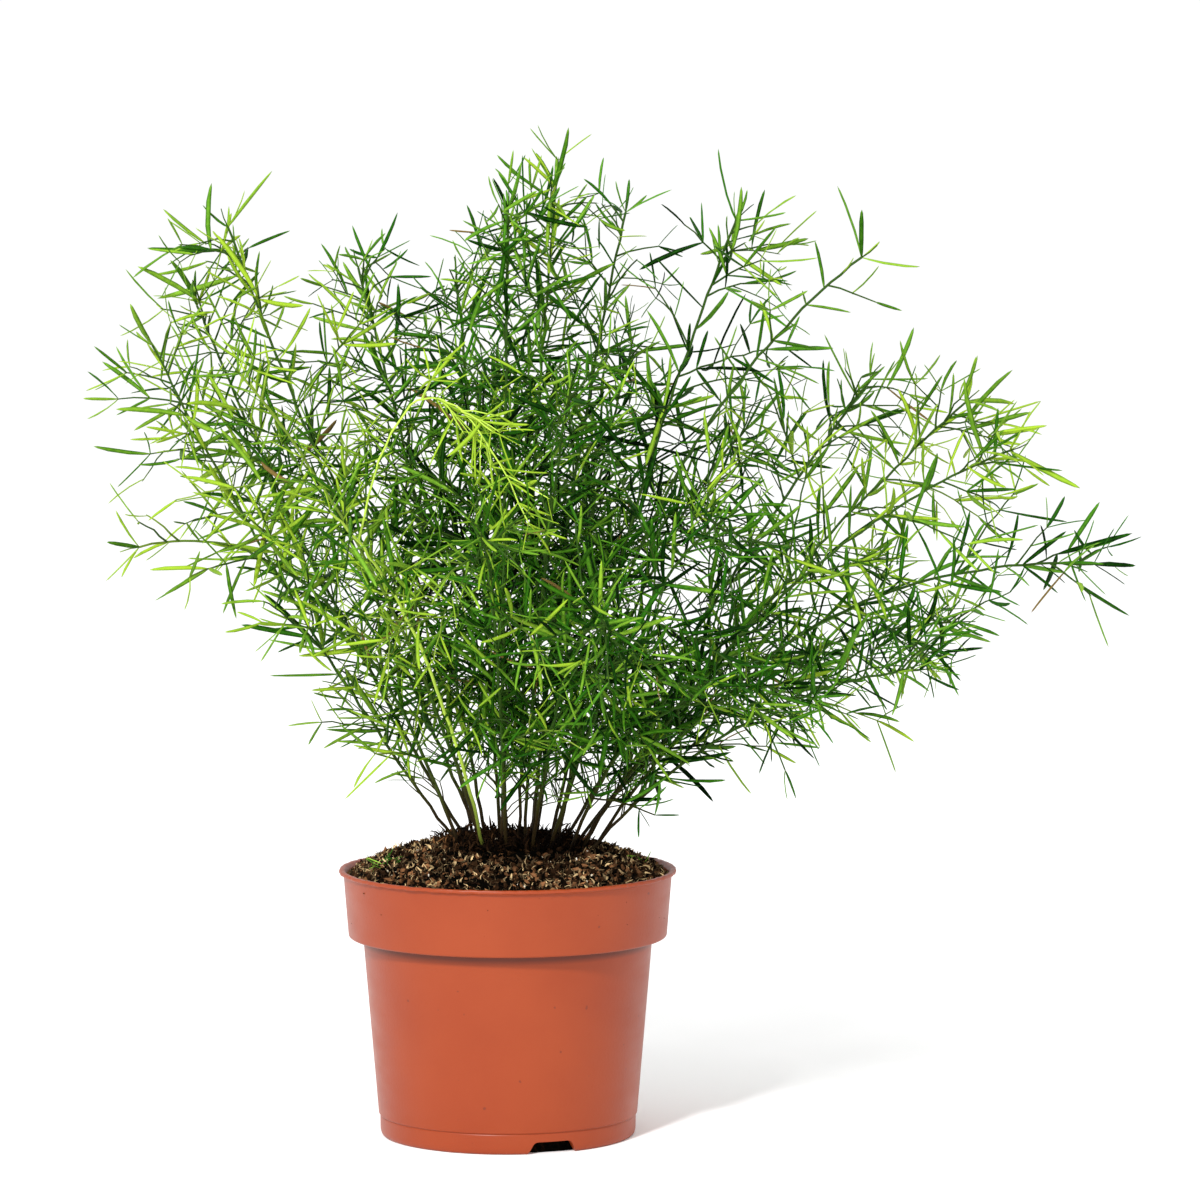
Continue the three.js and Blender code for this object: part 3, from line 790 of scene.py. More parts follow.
def fibres(kind, width, flatness=1.0):
    """One strand of each bend."""
    return [fibre(f"{kind}_{i}", bends, width, flatness) for i, bends in enumerate(BENDS)]


print("bends of a fibre:", len(BENDS))


# %% Scattering tree
def start_tree(name, inputs):
    """A Geometry Nodes tree, and the sockets of its inputs, from a list of (kind, names)."""
    tree = bpy.data.node_groups.new(name, "GeometryNodeTree")
    for kind, labels in [("Geometry", ["Geometry"]), *inputs]:
        for label in labels:
            tree.interface.new_socket(label, in_out="INPUT", socket_type=f"NodeSocket{kind}")
    tree.interface.new_socket("Geometry", in_out="OUTPUT", socket_type="NodeSocketGeometry")
    return tree, tree.nodes.new("NodeGroupInput").outputs


def shapes_of(tree, collection):
    """The shapes of a collection, each on its own, to pick from."""
    feeds = {"Collection": collection, "Separate Children": True, "Reset Children": True}
    return put(tree, "GeometryNodeCollectionInfo", feeds).outputs[0]


def keep_value(tree, geometry, name, value, domain):
    """Stores a value on the points or the instances, where a material can read it."""
    feeds = {"Geometry": geometry, "Name": name, "Value": value}
    kind = "GeometryNodeStoreNamedAttribute"
    return put(tree, kind, feeds, data_type="FLOAT", domain=domain).outputs[0]


def top_of_soil(tree, given):
    """Whether a face looks up, lies on the mound and is neither too near a place nor too far."""
    normal = put(tree, "GeometryNodeInputNormal").outputs[0]
    position = put(tree, "GeometryNodeInputPosition").outputs[0]
    looks_up = maths(tree, "GREATER_THAN", along_axis(tree, normal, "Z"), 0.2)
    is_high = maths(tree, "GREATER_THAN", along_axis(tree, position, "Z"), (SOIL_EDGE - 1) * MM)
    away = level_distance(tree, position, given["Place"])
    near = maths(tree, "LESS_THAN", away, given["Spread"])
    clear = maths(tree, "GREATER_THAN", away, given["Clear Middle"])
    on_top = maths(tree, "MULTIPLY", looks_up, is_high)
    return maths(tree, "MULTIPLY", on_top, maths(tree, "MULTIPLY", near, clear))


def scatter_tree():
    """Lays shapes of a collection over the top of the soil, within a reach round a place."""
    sizes = ["Density", "Smallest", "Largest", "Spread", "Lift", "Clear Middle"]
    inputs = [("Collection", ["Shapes"]), ("Material", ["Material"]), ("Float", sizes)]
    tree, given = start_tree("scatter_on_soil", [*inputs, ("Vector", ["Place"]), ("Int", ["Seed"])])
    feeds = {"Mesh": given["Geometry"], "Selection": top_of_soil(tree, given)}
    feeds |= {"Density": given["Density"], "Seed": given["Seed"]}
    spots = put(tree, "GeometryNodeDistributePointsOnFaces", feeds).outputs[0]
    lift = put(tree, "ShaderNodeCombineXYZ", {"Z": given["Lift"]}).outputs[0]
    raised = put(tree, "GeometryNodeSetPosition", {"Geometry": spots, "Offset": lift}).outputs[0]
    feeds = {0: (0, 0, 0), 1: (FULL_TURN, FULL_TURN, FULL_TURN), "Seed": given["Seed"]}
    tumble = put(tree, "FunctionNodeRandomValue", feeds, data_type="FLOAT_VECTOR").outputs[0]
    size = chance(tree, given["Smallest"], given["Largest"], given["Seed"])
    feeds = {"Points": raised, "Instance": shapes_of(tree, given["Shapes"])}
    feeds |= {"Pick Instance": True, "Rotation": tumble, "Scale": size}
    placed = put(tree, "GeometryNodeInstanceOnPoints", feeds).outputs[0]
    shaded = keep_value(tree, placed, "shade", chance(tree, 0.0, 1.0, 5), "INSTANCE")
    real = put(tree, "GeometryNodeRealizeInstances", {0: shaded}).outputs[0]
    feeds = {"Geometry": real, "Material": given["Material"]}
    put(tree, "NodeGroupOutput", {0: put(tree, "GeometryNodeSetMaterial", feeds).outputs[0]})
    return tree


scatter = scatter_tree()
print("scattering tree:", len(scatter.nodes), "nodes")


# %% Crumbs, fibres and chips
EVERYWHERE = 0.2  # metres, wider than the pot


def set_inputs(modifier, values):
    """Sets a Geometry Nodes modifier's inputs, each by its socket's identifier."""
    for item in modifier.node_group.interface.items_tree:
        if item.item_type == "SOCKET" and item.in_out == "INPUT" and item.name in values:
            modifier[item.identifier] = values[item.name]


def scattered(name, shapes, material, density, sizes, seed, more=None):
    """A piece of shapes scattered over the soil. density is their number on a square metre."""
    piece = in_scene(name, soil.data.copy())
    collection = hidden_collection(name + "_shapes", shapes)
    modifier = piece.modifiers.new("scatter", "NODES")
    modifier.node_group = scatter
    values = {"Shapes": collection, "Material": material, "Density": density, "Seed": seed}
    values |= {"Smallest": sizes[0], "Largest": sizes[1], "Spread": EVERYWHERE, "Clear Middle": 0.0}
    set_inputs(modifier, values | (more or {}))
    mesh = evaluated_mesh(piece)
    discard(collection)
    finish_piece(piece, "soil")
    print(name, "has", len(mesh.polygons), "faces")


crumbs = [crumb(f"crumb_{i}", i, 0.35 + 0.1 * i) for i in range(5)]
scattered("soil_crumbs", crumbs, peat_material, 3.6e5, (0.25, 1.4), 3)
off_crown = {"Lift": 0.0006, "Place": CROWN_PLACE, "Clear Middle": 0.025}
litter = fibres("fibre", 0.4) + fibres("chip", 1.1, 0.35)
scattered("soil_fibres", litter, fibre_material, 2.6e5, (0.12, 0.6), 8, off_crown)

# %% [markdown]
# ## Crown
#
# The stems rise from a crown of old brown scale leaves, and between them stand the stubs of
# stems that were cut or died back. The scales are more of the scattered litter, kept near the
# crown. The stubs have a rule of their own: they stand almost upright and lean outwards, and
# they sit a golden turn apart, as growth does. A loop says that better than a scatter would.

# %% Old scales and stubs at the crown
STUB_COUNT = 90
STUB_REACH = 27.0
STUB_MIDDLE = 4.0
STUB_HEIGHT = (3.0, 9.5)
STUB_RINGS = [(0, 1.0), (0.45, 1.1), (0.8, 0.7), (1, 0.25)]  # place and width


def clamp(value):
    """The value itself, or 0 or 1 where it lies outside them."""
    return min(1.0, max(0.0, value))


def stub(i):
    """One three-sided stub, which leans away from the middle of the crown."""
    away = STUB_REACH * math.sqrt((i + 0.5) / STUB_COUNT)
    turn = i * GOLDEN_TURN
    x, y = STUB_MIDDLE + away * math.cos(turn), away * math.sin(turn)
    foot = Vector((x, y, soil_height(x, y) - 2))
    pick = Vector((i * 1.7, 0, 0))
    height = mix(STUB_HEIGHT, clamp(0.5 + 1.2 * noise.noise(pick)))
    lean = Vector((x - STUB_MIDDLE, y, 0)) / STUB_REACH * 0.5
    by_chance = [noise.noise(pick + Vector((0, offset, 0))) for offset in (5, 9)]
    lean += Vector((*by_chance, 0)) * 0.6
    points = []
    for share, width in STUB_RINGS:
        centre = foot + (Vector((0, 0, 1)) + lean * share) * height * share
        for k in range(3):
            radius = width * (0.3 + 0.03 * height)
            points.append(centre + spoke(FULL_TURN * k / 3 + i + share) * radius)
    return points, tube_faces(len(STUB_RINGS))


stalks = fibres("stalk", 0.5)
at_crown = {"Lift": 0.0018, "Spread": 0.027}
scattered("crown_scales", stalks, crown_material, 2.2e5, (0.4, 1.1), 21, at_crown)

stubs = mesh_object("crown_stubs", *joined([stub(i) for i in range(STUB_COUNT)]))
stub_points = 3 * len(STUB_RINGS)
shades = [(i * 0.618) % 1 for i in range(STUB_COUNT) for _ in range(stub_points)]
stubs.data.attributes.new("shade", "FLOAT", "POINT").data.foreach_set("value", shades)
stubs.data.materials.append(crown_material)
finish_piece(stubs, "soil")
print("stubs of old stems:", STUB_COUNT)

# %% Pale grains
grains = [crumb(f"grain_{i}", 20 + i, 0.8) for i in range(3)]
scattered("soil_grains", grains, grain_material, 5.5e3, (0.2, 0.5), 12, {"Lift": 0.0008})

# %% [markdown]
# ## Peat behind the notches
#
# The notch in the foot looks black in the photograph, as if peat stood behind it that the water
# washed out of the drain holes. A dark block would do from the front, but it would show its
# straight edges from below. So three low banks stand in the hollow of the foot, one behind each
# notch. A bank is an outline swept round a part of the ring, roughened with noise.

# %% Peat behind the notches
BANK_HALF_TURN = 0.27
BANK_STEPS = 30
BANK_CORNERS = [
    (MOAT_RADIUS[1] - 0.7, 0.1, 0),
    (MOAT_RADIUS[1] - 1.0, MOAT_HEIGHT - 0.6, 0.7),
    (MOAT_RADIUS[1] - 6.5, MOAT_HEIGHT - 0.5, 0.7),
    (MOAT_RADIUS[1] - 7.0, 0.1, 0),
]


def bank(middle_turn):
    """A low bank of peat, swept to both sides of a notch's middle."""
    outline = rounded(BANK_CORNERS, 6)
    count = len(outline)
    points, faces = [], []
    for step in range(BANK_STEPS + 1):
        spot = spoke(middle_turn + BANK_HALF_TURN * (2 * step / BANK_STEPS - 1))
        for radius, height in outline:
            rough = abs(noise.noise(spot * 95 + Vector((0, 0, radius + height))))
            up = Vector((0, 0, height * (1 - 0.3 * rough)))
            points.append(spot * (radius - 0.8 * rough) + up)
    for step in range(BANK_STEPS):
        here, there = step * count, (step + 1) * count
        for k in range(count):
            after = (k + 1) % count
            faces.append((here + k, there + k, there + after, here + after))
    last = BANK_STEPS * count
    return points, faces + [tuple(range(count - 1, -1, -1)), tuple(range(last, last + count))]


notch_peat = mesh_object("notch_peat", *joined([bank(turn) for turn in notch_turns]))
face_outwards(notch_peat.data)
notch_peat.data.materials.append(peat_material)
finish_piece(notch_peat, "soil")
print("peat behind the notches:", len(notch_peat.data.polygons), "faces")

# %% [markdown]
# ## Moss
#
# Two tufts of moss grow on the wet soil near the rim. Fur made with hair curves would suit a
# whole cushion, but these are a few green blades each. The scattering tree lays them, with one
# small blade as its shape and a short reach round each tuft's place.


# %% Moss
def moss(name, place, spread, density, seed):
    blade = needle(f"{name}_blade", 3.0, 1.0, 0.6)
    where = {"Place": tuple(c * MM for c in place), "Spread": spread * MM, "Lift": 0.0012}
    scattered(name, [blade], moss_material, density, (0.12, 0.4), seed, where)


moss("moss_left", (-44, -16, 0), 4, 3.2e5, 4)
moss("moss_right", (46, -6, 0), 3, 1.8e5, 6)

# %% [markdown]
# ## The plan of the stems
#
# The solids follow one plan: each stem is an arc, side branches leave it a golden turn apart,
# and each branch is turned until it is clear of what was planned before. The branches could be
# read back from the solids' meshes, but arcs are easier to dress than faces. So the same plan is
# worked out again here, with the same draws, and the fine branches lie on the solids. Anything
# that this script adds on top, such as more side branches and twigs, has draws of its own.

# %% Stem sizes, as in the solids
STEM_RADIUS = 0.95
BRANCH_RADIUS = 0.55
SUNK = 12.0
TIP_NEEDLE = 14.0
FIRST_BRANCH, LAST_BRANCH = 0.17, 0.93
BRANCH_EVERY = 40.0
BRANCH_LENGTH = (17.0, 45.0)  # the shortest, and what the fullest adds to it
BRANCH_LEAN = 0.9
BRANCH_SAG = 0.13
WHORL_EVERY = 13.5
SKIRT_HEIGHT, SKIRT_FROM, SKIRT_RISE = 107.0, 50.0, 0.45
SKIRT_LEFT, SKIRT_LEFT_RISE = (45.0, 75.0), 1.6
CLEAR = 0.35
TURN_TRIES = 12

# tone, root, tip, bow, droop and spread of each stem, from the left to the right of the plant
STEMS = [
    ("mid", (-19, 0), (-132, -5, 293), -0.1, -0.1, 1),
    ("mid", (-15, 9), (-118, 35, 306), -0.15, -0.05, 1),
    ("fresh", (-17, -9), (-137, -40, 222), 0.25, 1.3, 1),
    ("mid", (-9, 4), (-105, 22, 335), -0.1, 0, 1),
    ("fresh", (-9, -11), (-97, -60, 286), 0.3, 0.2, 1),
    ("deep", (-8, 15), (-58, 62, 320), 0.1, 0.1, 1),
    ("mid", (-8, -18), (-62, -112, 240), 0.2, 0.5, 1),
    ("deep", (-13, 18), (-76, 118, 252), 0.2, 0.5, 1),
    ("deep", (-3, 9), (-20, 42, 318), 0.2, 0.1, 1),
    ("deep", (-2, -5), (1, -28, 343), 0.3, 0, 1),
    ("mid", (4, 1), (18, 0, 350), 0.6, 0, 1),
    ("fresh", (0, -19), (-7, -135, 233), 0.2, 0.7, 1),
    ("deep", (-1, 20), (-8, 132, 276), 0.2, 0.4, 1),
    ("fresh", (6, -12), (24, -90, 282), 0.3, 0.3, 1),
    ("deep", (9, 7), (44, 30, 341), 0.5, 0, 1),
    ("deep", (10, 16), (47, 95, 290), 0.1, 0.2, 1),
    ("mid", (9, -20), (39, -140, 200), 0.1, 1.2, 1),
    ("deep", (8, 23), (32, 140, 216), 0.1, 1, 1),
    ("mid", (15, 1), (85, 10, 338), 0.2, 0.1, 1),
    ("mid", (15, -17), (81, -110, 238), 0.1, 0.6, 1),
    ("deep", (17, 18), (92, 110, 256), 0.1, 0.5, 1),
    ("fresh", (18, -5), (130, -30, 325), 0.6, 0.35, 0.2),
    ("mid", (20, 10), (139, 70, 277), 0, 0.1, 1),
    ("fresh", (26, 4), (172, 20, 270), 0.1, 0.15, 1),
    ("fresh", (27, -6), (184, -50, 256), 0.15, 0.5, 1),
    ("mid", (31, -1), (219, -8, 211), 0.25, 1.1, 1),
    ("deep", (25, 13), (175, 62, 184), 0.2, 1, 1),
    ("mid", (29, -13), (156, -36, 176), 0.1, 0.8, 1),
    ("deep", (22, -16), (104, -78, 160), 0.3, 2, 1),
]
print("stems:", len(STEMS))


# %% Draws and arcs
def seeded_draws(seed):
    """The same run of draws from 0 to 1 each time, for one seed."""
    state = (seed + 1) * 747796405 % 2**32

    def draw():
        nonlocal state
        state = (state * 1664525 + 1013904223) % 2**32
        return state / 2**32

    return draw


def on_arc(arc, share):
    start, knee, end = arc
    return start * (1 - share) ** 2 + knee * (2 * share * (1 - share)) + end * share**2


def along_arc(arc, share):
    start, knee, end = arc
    return ((knee - start) * (1 - share) + (end - knee) * share).normalized()


def arc_length(arc):
    steps = 200
    points = [on_arc(arc, i / steps) for i in range(steps + 1)]
    return sum((b - a).length for a, b in zip(points, points[1:]))


def outward(along, turn):
    """The direction square to a stem on the side that turn gives."""
    side = Vector((0.31, 0.95, 0)).cross(along).normalized()
    return Matrix.Rotation(turn, 3, along) @ side


def lean_out(along, lean, turn):
    """The direction of a branch that leans away from its stem."""
    return along * math.cos(lean) + outward(along, turn) * math.sin(lean)


def stem_arc(root, tip, bow, droop):
    start = Vector((*root, soil_height(*root)))
    rise = Vector(tip) - start
    rise *= (rise.length - TIP_NEEDLE) / rise.length
    out = (1 - bow) / 2
    knee = start + Vector((rise.x * out, rise.y * out, rise.z * (1 + droop) / 2))
    return start, knee, start + rise


def branch_arc(start, direction, length, sag=BRANCH_SAG):
    straight = direction * length
    end = start + straight - Vector((0, 0, sag * length))
    return start, start + straight * 0.5, end


lengths = [arc_length(stem_arc(*stem[1:5])) for stem in STEMS]
print("stems are", round(min(lengths)), "to", round(max(lengths)), "mm long")


# %% Taken space
class Rods:
    """Straight rods that stand for wood, each with its owner."""

    def __init__(self):
        self.starts, self.ends, self.radii, self.owners = [], [], [], []

    def add(self, points, radius, owner):
        for a, b in zip(points, points[1:]):
            self.starts.append(tuple(a))
            self.ends.append(tuple(b))
            self.radii.append(radius)
            self.owners.append(owner)

    def is_clear(self, a, b, radius, own):
        """Whether a stretch from a to b stays off every rod of another owner."""
        a, b = np.array(a), np.array(b)
        starts, ends = np.array(self.starts), np.array(self.ends)
        u, v, w = b - a, ends - starts, a - starts
        uu, vv, uv = u @ u, (v * v).sum(1), v @ u
        uw, vw = w @ u, (v * w).sum(1)
        slack = uu * vv - uv * uv
        s = np.clip((uv * vw - vv * uw) / np.maximum(slack, 1e-9), 0, 1)
        s = np.where(slack > 1e-9, s, 0)
        t = np.clip((uv * s + vw) / vv, 0, 1)
        s = np.clip((uv * t - uw) / uu, 0, 1)
        apart = np.linalg.norm(w + s[:, None] * u - t[:, None] * v, axis=1)
        needed = radius + np.array(self.radii) + CLEAR
        return bool(np.all((apart > needed) | (np.array(self.owners) == own)))


rods = Rods()


# %% Plan the stems
def fullness_at(at):
    """Branch length: longest at a stem's middle, shorter below, shortest at its tip."""
    share = (LAST_BRANCH - at) / (LAST_BRANCH - FIRST_BRANCH)
    return BRANCH_LENGTH[0] + BRANCH_LENGTH[1] * math.sin(0.85 * math.pi * clamp(share))


def plan_stem(index, tone, root, tip, bow, droop, spread):
    """A stem's arc and where it forks, and its rods in the taken space."""
    arc = stem_arc(root, tip, bow, droop)
    draw = seeded_draws(index)
    reach = (LAST_BRANCH - FIRST_BRANCH) * arc_length(arc)
    count = max(4, math.floor(reach / BRANCH_EVERY + 0.5) + 1)
    forks = []
    for k in range(count):
        even = mix((FIRST_BRANCH, LAST_BRANCH), k / (count - 1))
        forks.append(even + 0.4 * (draw() - 0.5) / count if k < count - 1 else even)
    bends = [on_arc(arc, at) for at in (0, FIRST_BRANCH / 2, *forks, 1)]
    rods.add(bends, STEM_RADIUS, f"stem{index}")
    bare = FIRST_BRANCH if spread == 1 else 0.7
    plan = {"index": index, "tone": tone, "arc": arc, "forks": forks, "draw": draw}
    return plan | {"spread": spread, "bare": bare, "branches": []}


plans = [plan_stem(index, *stem) for index, stem in enumerate(STEMS)]
print("forks of the solids:", sum(len(plan["forks"]) for plan in plans))


# %% Plan the branches of the solids
def skirt_height(point):
    """How low foliage hangs at a place."""
    away = max(0.0, math.hypot(point.x, point.y) - SKIRT_FROM)
    left = max(0.0, min(SKIRT_LEFT[1], -point.x) - SKIRT_LEFT[0])
    return SKIRT_HEIGHT + SKIRT_RISE * away + SKIRT_LEFT_RISE * left


def branch_stations(length):
    count = max(2, math.floor(length / WHORL_EVERY + 0.5))
    return [(j + 0.8) / (count - 0.2) for j in range(count)]


def plan_branch(plan, owner, at, length, turn, lean):
    """A branch that neither hangs too low nor touches another stem, or None."""
    own = f"stem{plan['index']}"
    along = along_arc(plan["arc"], at)
    for i in range(TURN_TRIES):
        direction = lean_out(along, lean, turn + i * FULL_TURN / TURN_TRIES)
        arc = branch_arc(on_arc(plan["arc"], at), direction, length)
        bends = [on_arc(arc, share) for share in (0, *branch_stations(length))]
        steps = list(zip(bends, bends[1:]))
        if any(a.z < SKIRT_HEIGHT or b.z < skirt_height(b) for a, b in steps):
            continue
        if all(rods.is_clear(a, b, BRANCH_RADIUS, own) for a, b in steps):
            rods.add(bends, BRANCH_RADIUS, owner)
            return arc
    return None


def plan_branches(plan):
    draw = plan["draw"]
    first_turn = draw() * FULL_TURN
    for k, at in enumerate(plan["forks"]):
        length = plan["spread"] * fullness_at(at) * (0.8 + 0.35 * draw())
        length = max(BRANCH_LENGTH[0], length)
        lean = BRANCH_LEAN + 0.35 * (draw() - 0.5)
        owner = f"stem{plan['index']}branch{k}"
        arc = plan_branch(plan, owner, at, length, first_turn + k * GOLDEN_TURN, lean)
        if arc:
            plan["branches"].append(arc)


for plan in plans:
    plan_branches(plan)
print("branches of the solids:", sum(len(plan["branches"]) for plan in plans))

# %% [markdown]
# ## The outline of the foliage
#
# A real plant has a shape of its own: tall in the middle, a gap at the upper right, a long spray
# at the far right. Chance alone would fill all that with an even ball of green. So twigs and
# branches that this script adds are kept inside an upper and a lower edge, as the camera sees
# them. The edges need only their corners, with straight stretches between them.

# %% Outline of the foliage, as the camera sees it
# (across, height) of the corners of its upper and lower edge in the plane y = 0, read off
# enlarged views of the photograph and rounded to 5 mm
UPPER_EDGE = [
    (-145, 280), (-125, 290), (-115, 330), (-45, 330), (-35, 300), (-20, 325), (10, 350), (45, 340),
    (60, 305), (80, 335), (95, 335), (105, 315), (130, 325), (140, 285), (170, 270), (180, 255),
    (205, 240), (225, 200),
]
LOWER_EDGE = [
    (-145, 205), (-105, 205), (-90, 180), (-75, 165), (-50, 135), (-40, 115), (-25, 105), (45, 105),
    (60, 130), (115, 135), (150, 150), (160, 170), (185, 185), (225, 195),
]
WIDE_MARGIN, TIP_MARGIN = 11, 7


def inside_outline(point, margin):
    """Whether the camera sees a point inside the foliage's edges by a margin."""
    eye = Vector(CAMERA_PLACE) / MM
    seen = eye + (point - eye) * (-eye.y / (point.y - eye.y))
    top = np.interp(seen.x, *zip(*UPPER_EDGE))
    bottom = np.interp(seen.x, *zip(*LOWER_EDGE))
    across = UPPER_EDGE[0][0] + margin < seen.x < UPPER_EDGE[-1][0] - margin
    return across and bottom + margin < seen.z < top - margin


def side_arc(parent, at, length, turn, lean, sag=BRANCH_SAG, margin=WIDE_MARGIN):
    """A side branch that stays inside the outline, or None."""
    along = along_arc(parent, at)
    for i in range(5):
        direction = lean_out(along, lean, turn + i * FULL_TURN / 5)
        arc = branch_arc(on_arc(parent, at), direction, length, sag)
        if all(inside_outline(on_arc(arc, share), margin) for share in (0.35, 0.7, 1.0)):
            return arc
    return None


print("outline:", UPPER_EDGE[-1][0] - UPPER_EDGE[0][0], "mm across")

# %% [markdown]
# ## All the wood of a stem
#
# Between the branches of the solids, a real stem carries more side branches, and the longer ones
# carry twigs. They could be Blender curves, one for each, but a curve object carries few values
# of its own. So they are added as runs of points: a run knows its wood's radius, whether needles
# grow on it, how long they are and how fresh their green is. Runs become chains of edges with
# those values stored on their points, which is how one mesh hands many curves to Geometry Nodes.

# %% Runs of wood
POINT_VALUES = ("wood_radius", "leafy", "needle_size", "tone", "youth", "closing")
RUN_STEP = 5.0
ZIGZAG = 0.35
FINE_STEM_RADIUS = (0.66, 0.44)
FINE_BRANCH_RADIUS = (0.4, 0.26)
TWIG_RADIUS = (0.28, 0.2)
TWIG_EVERY = 14
# the middle and reach of the heart of the foliage, where the needles' tone is lowered as painted shade
CORE_MIDDLE = Vector((25, 0, 188))
CORE_REACH = Vector((115, 210, 120))
INNER_SHADE = 0.36


def depth_inside(point):
    """1 in the heart of the foliage, 0 at its outside."""
    away = point - CORE_MIDDLE
    return 1 - clamp(Vector(a / r for a, r in zip(away, CORE_REACH)).length)


def add_run(runs, arc, radii, draw, tone, size=1.0, bare=0.0, youth=0.0):
    """A stretch of wood along an arc, with a slight zigzag. bare is the share without needles."""
    count = max(3, round(arc_length(arc) / RUN_STEP) + 1)
    for i in range(count):
        share = i / (count - 1)
        wander = Vector((draw() - 0.5, draw() - 0.5, draw() - 0.5)) * 2 * ZIGZAG
        if i in (0, count - 1):
            wander *= 0
        runs["points"].append(on_arc(arc, share) + wander)
        runs["wood_radius"].append(mix(radii, share) * MM)
        runs["leafy"].append(1.0 if share >= bare else 0.0)
        runs["needle_size"].append(size * (1 - 0.3 * share**3))
        # painted shade: the tone is lowered towards the heart of the foliage
        runs["tone"].append(tone + 0.07 * share - INNER_SHADE * depth_inside(runs["points"][-1]))
        runs["youth"].append(max(youth, tone + 0.1 * share))
        runs["closing"].append(clamp((share - 0.8) / 0.2))
        if i:
            last = len(runs["points"]) - 1
            runs["edges"].append((last - 1, last))


def add_twigs(runs, branch, draw, tone, size, bare=0.0):
    """Short twigs to alternate sides of a branch."""
    count = int(arc_length(branch) / TWIG_EVERY)
    for i in range(count):
        at = (i + 0.7 + 0.3 * draw()) / (count + 0.6)
        twig = side_arc(branch, at, 9 + 9 * draw(), math.pi * i + draw(), 0.75)
        if twig and bare < at < 0.92:
            add_run(runs, twig, TWIG_RADIUS, draw, tone + 0.05, 0.85 * size, 0.25)


print("values on each point:", POINT_VALUES)

# %% [markdown]
# ## How each stem is dressed
#
# No two stems of a plant are alike. Old ones at the back are full and dark, young ones are open
# with larger, fresher needles. One slender stem at the front left has pale wood and a bare lower
# half, and a long lime-green shoot arches over from it. A table gives each stem its own numbers,
# chosen against the photograph, because no single rule would give these differences.

# %% Fullness of single stems
# for each stem: branches added between two forks, size of the needles, a shift of the green's
# tone, and the distance from one group of needles to the next
DRESS = [
    (2, 1.25, 0.08, 10.0),
    (3, 1.2, 0.06, 8.6),
    (0, 1.1, 0.06, 10.5),
    (2, 1.25, 0.06, 8.2),
    (0, 1.1, 0.1, 9.4),
    (4, 1.05, 0.04, 7.2),
    (0, 1.05, 0.06, 7.6),
    (1, 1.0, 0.0, 8.6),
    (5, 1.05, 0.04, 7.2),
    (5, 1.05, 0.0, 7.4),
    (5, 1.1, 0.0, 7.2),
    (2, 1.0, 0.0, 7.6),
    (3, 1.0, 0.02, 7.0),
    (2, 1.0, -0.08, 7.6),
    (1, 1.0, 0.0, 9.0),
    (2, 1.0, 0.02, 7.6),
    (3, 1.0, 0.0, 7.6),
    (2, 1.0, 0.02, 7.6),
    (2, 1.25, -0.06, 8.0),
    (3, 1.1, 0.0, 7.4),
    (2, 1.0, 0.02, 7.6),
    (0, 1.2, -0.06, 8.4),
    (2, 1.1, 0.0, 7.6),
    (2, 1.15, 0.02, 8.0),
    (0, 1.2, 0.0, 8.0),
    (0, 1.2, -0.1, 6.2),
    (2, 1.0, 0.02, 7.6),
    (2, 1.0, -0.06, 7.6),
    (2, 1.0, 0.02, 7.6),
]
TONES = {"deep": 0.52, "mid": 0.58, "fresh": 0.68}
LIME_TONE = 0.92  # the freshest green; a tone of 1 is a dry needle
# the slender young stem at the front left
PALE_STEM, PALE_BARE, PALE_YOUTH = 6, 0.6, 1.0
# the long young shoot: its stem, where it starts, its bare share, its knee and its end
SHOOT_STEM, SHOOT_START, SHOOT_BARE = 6, 0.85, 0.45
SHOOT_TONE = 1.1
SHOOT_KNEE, SHOOT_END = Vector((-29, -104, 313)), Vector((9, -112, 226))
print("branches added between forks:", sum(row[0] for row in DRESS))


# %% The stem itself and its shoots
TWIG_SEED = 900
LEADER = 7.0
LEADERS = {9: 9.0, 10: 10.0}  # two stems at the top of the plant end in longer leaders


def add_stem(runs, plan, draw, tone, size):
    """The stem's own wood, from below the soil to its tip."""
    arc = plan["arc"]
    root, up = on_arc(arc, 0), along_arc(arc, 0)
    sunk_part = (root - up * SUNK, root - up * SUNK / 2, root)
    add_run(runs, sunk_part, (FINE_STEM_RADIUS[0],) * 2, draw, tone, 1, 2)
    pale = plan["index"] == PALE_STEM
    bare, youth = (PALE_BARE, PALE_YOUTH) if pale else (plan["bare"] - 0.05, 0.0)
    add_run(runs, arc, FINE_STEM_RADIUS, draw, tone, size, bare, youth)


def add_leader(runs, plan, draw, tone, size):
    """The stretch of fine wood that goes on beyond the tip."""
    top = on_arc(plan["arc"], 1)
    ahead = along_arc(plan["arc"], 1) * LEADERS.get(plan["index"], LEADER)
    leader = (top, top + ahead / 2, top + ahead)
    add_run(runs, leader, TWIG_RADIUS, draw, tone + 0.04, 0.95 * size)


def add_shoot(runs, plan, draw):
    """The lime-green shoot that arches over in front."""
    shoot = (on_arc(plan["arc"], SHOOT_START), SHOOT_KNEE, SHOOT_END)
    add_run(runs, shoot, FINE_BRANCH_RADIUS, draw, SHOOT_TONE, 1.0, SHOOT_BARE)
    for _ in range(3):
        add_twigs(runs, shoot, draw, SHOOT_TONE, 1.1, SHOOT_BARE)


# %% Branches and twigs that are added to a stem
LOW_TWIGS = 7
LEFT_STEMS, LEFT_LOW_TWIGS = 8, 3  # the first stems of the table stand barer at the foot
TIP_BRANCHES = 3


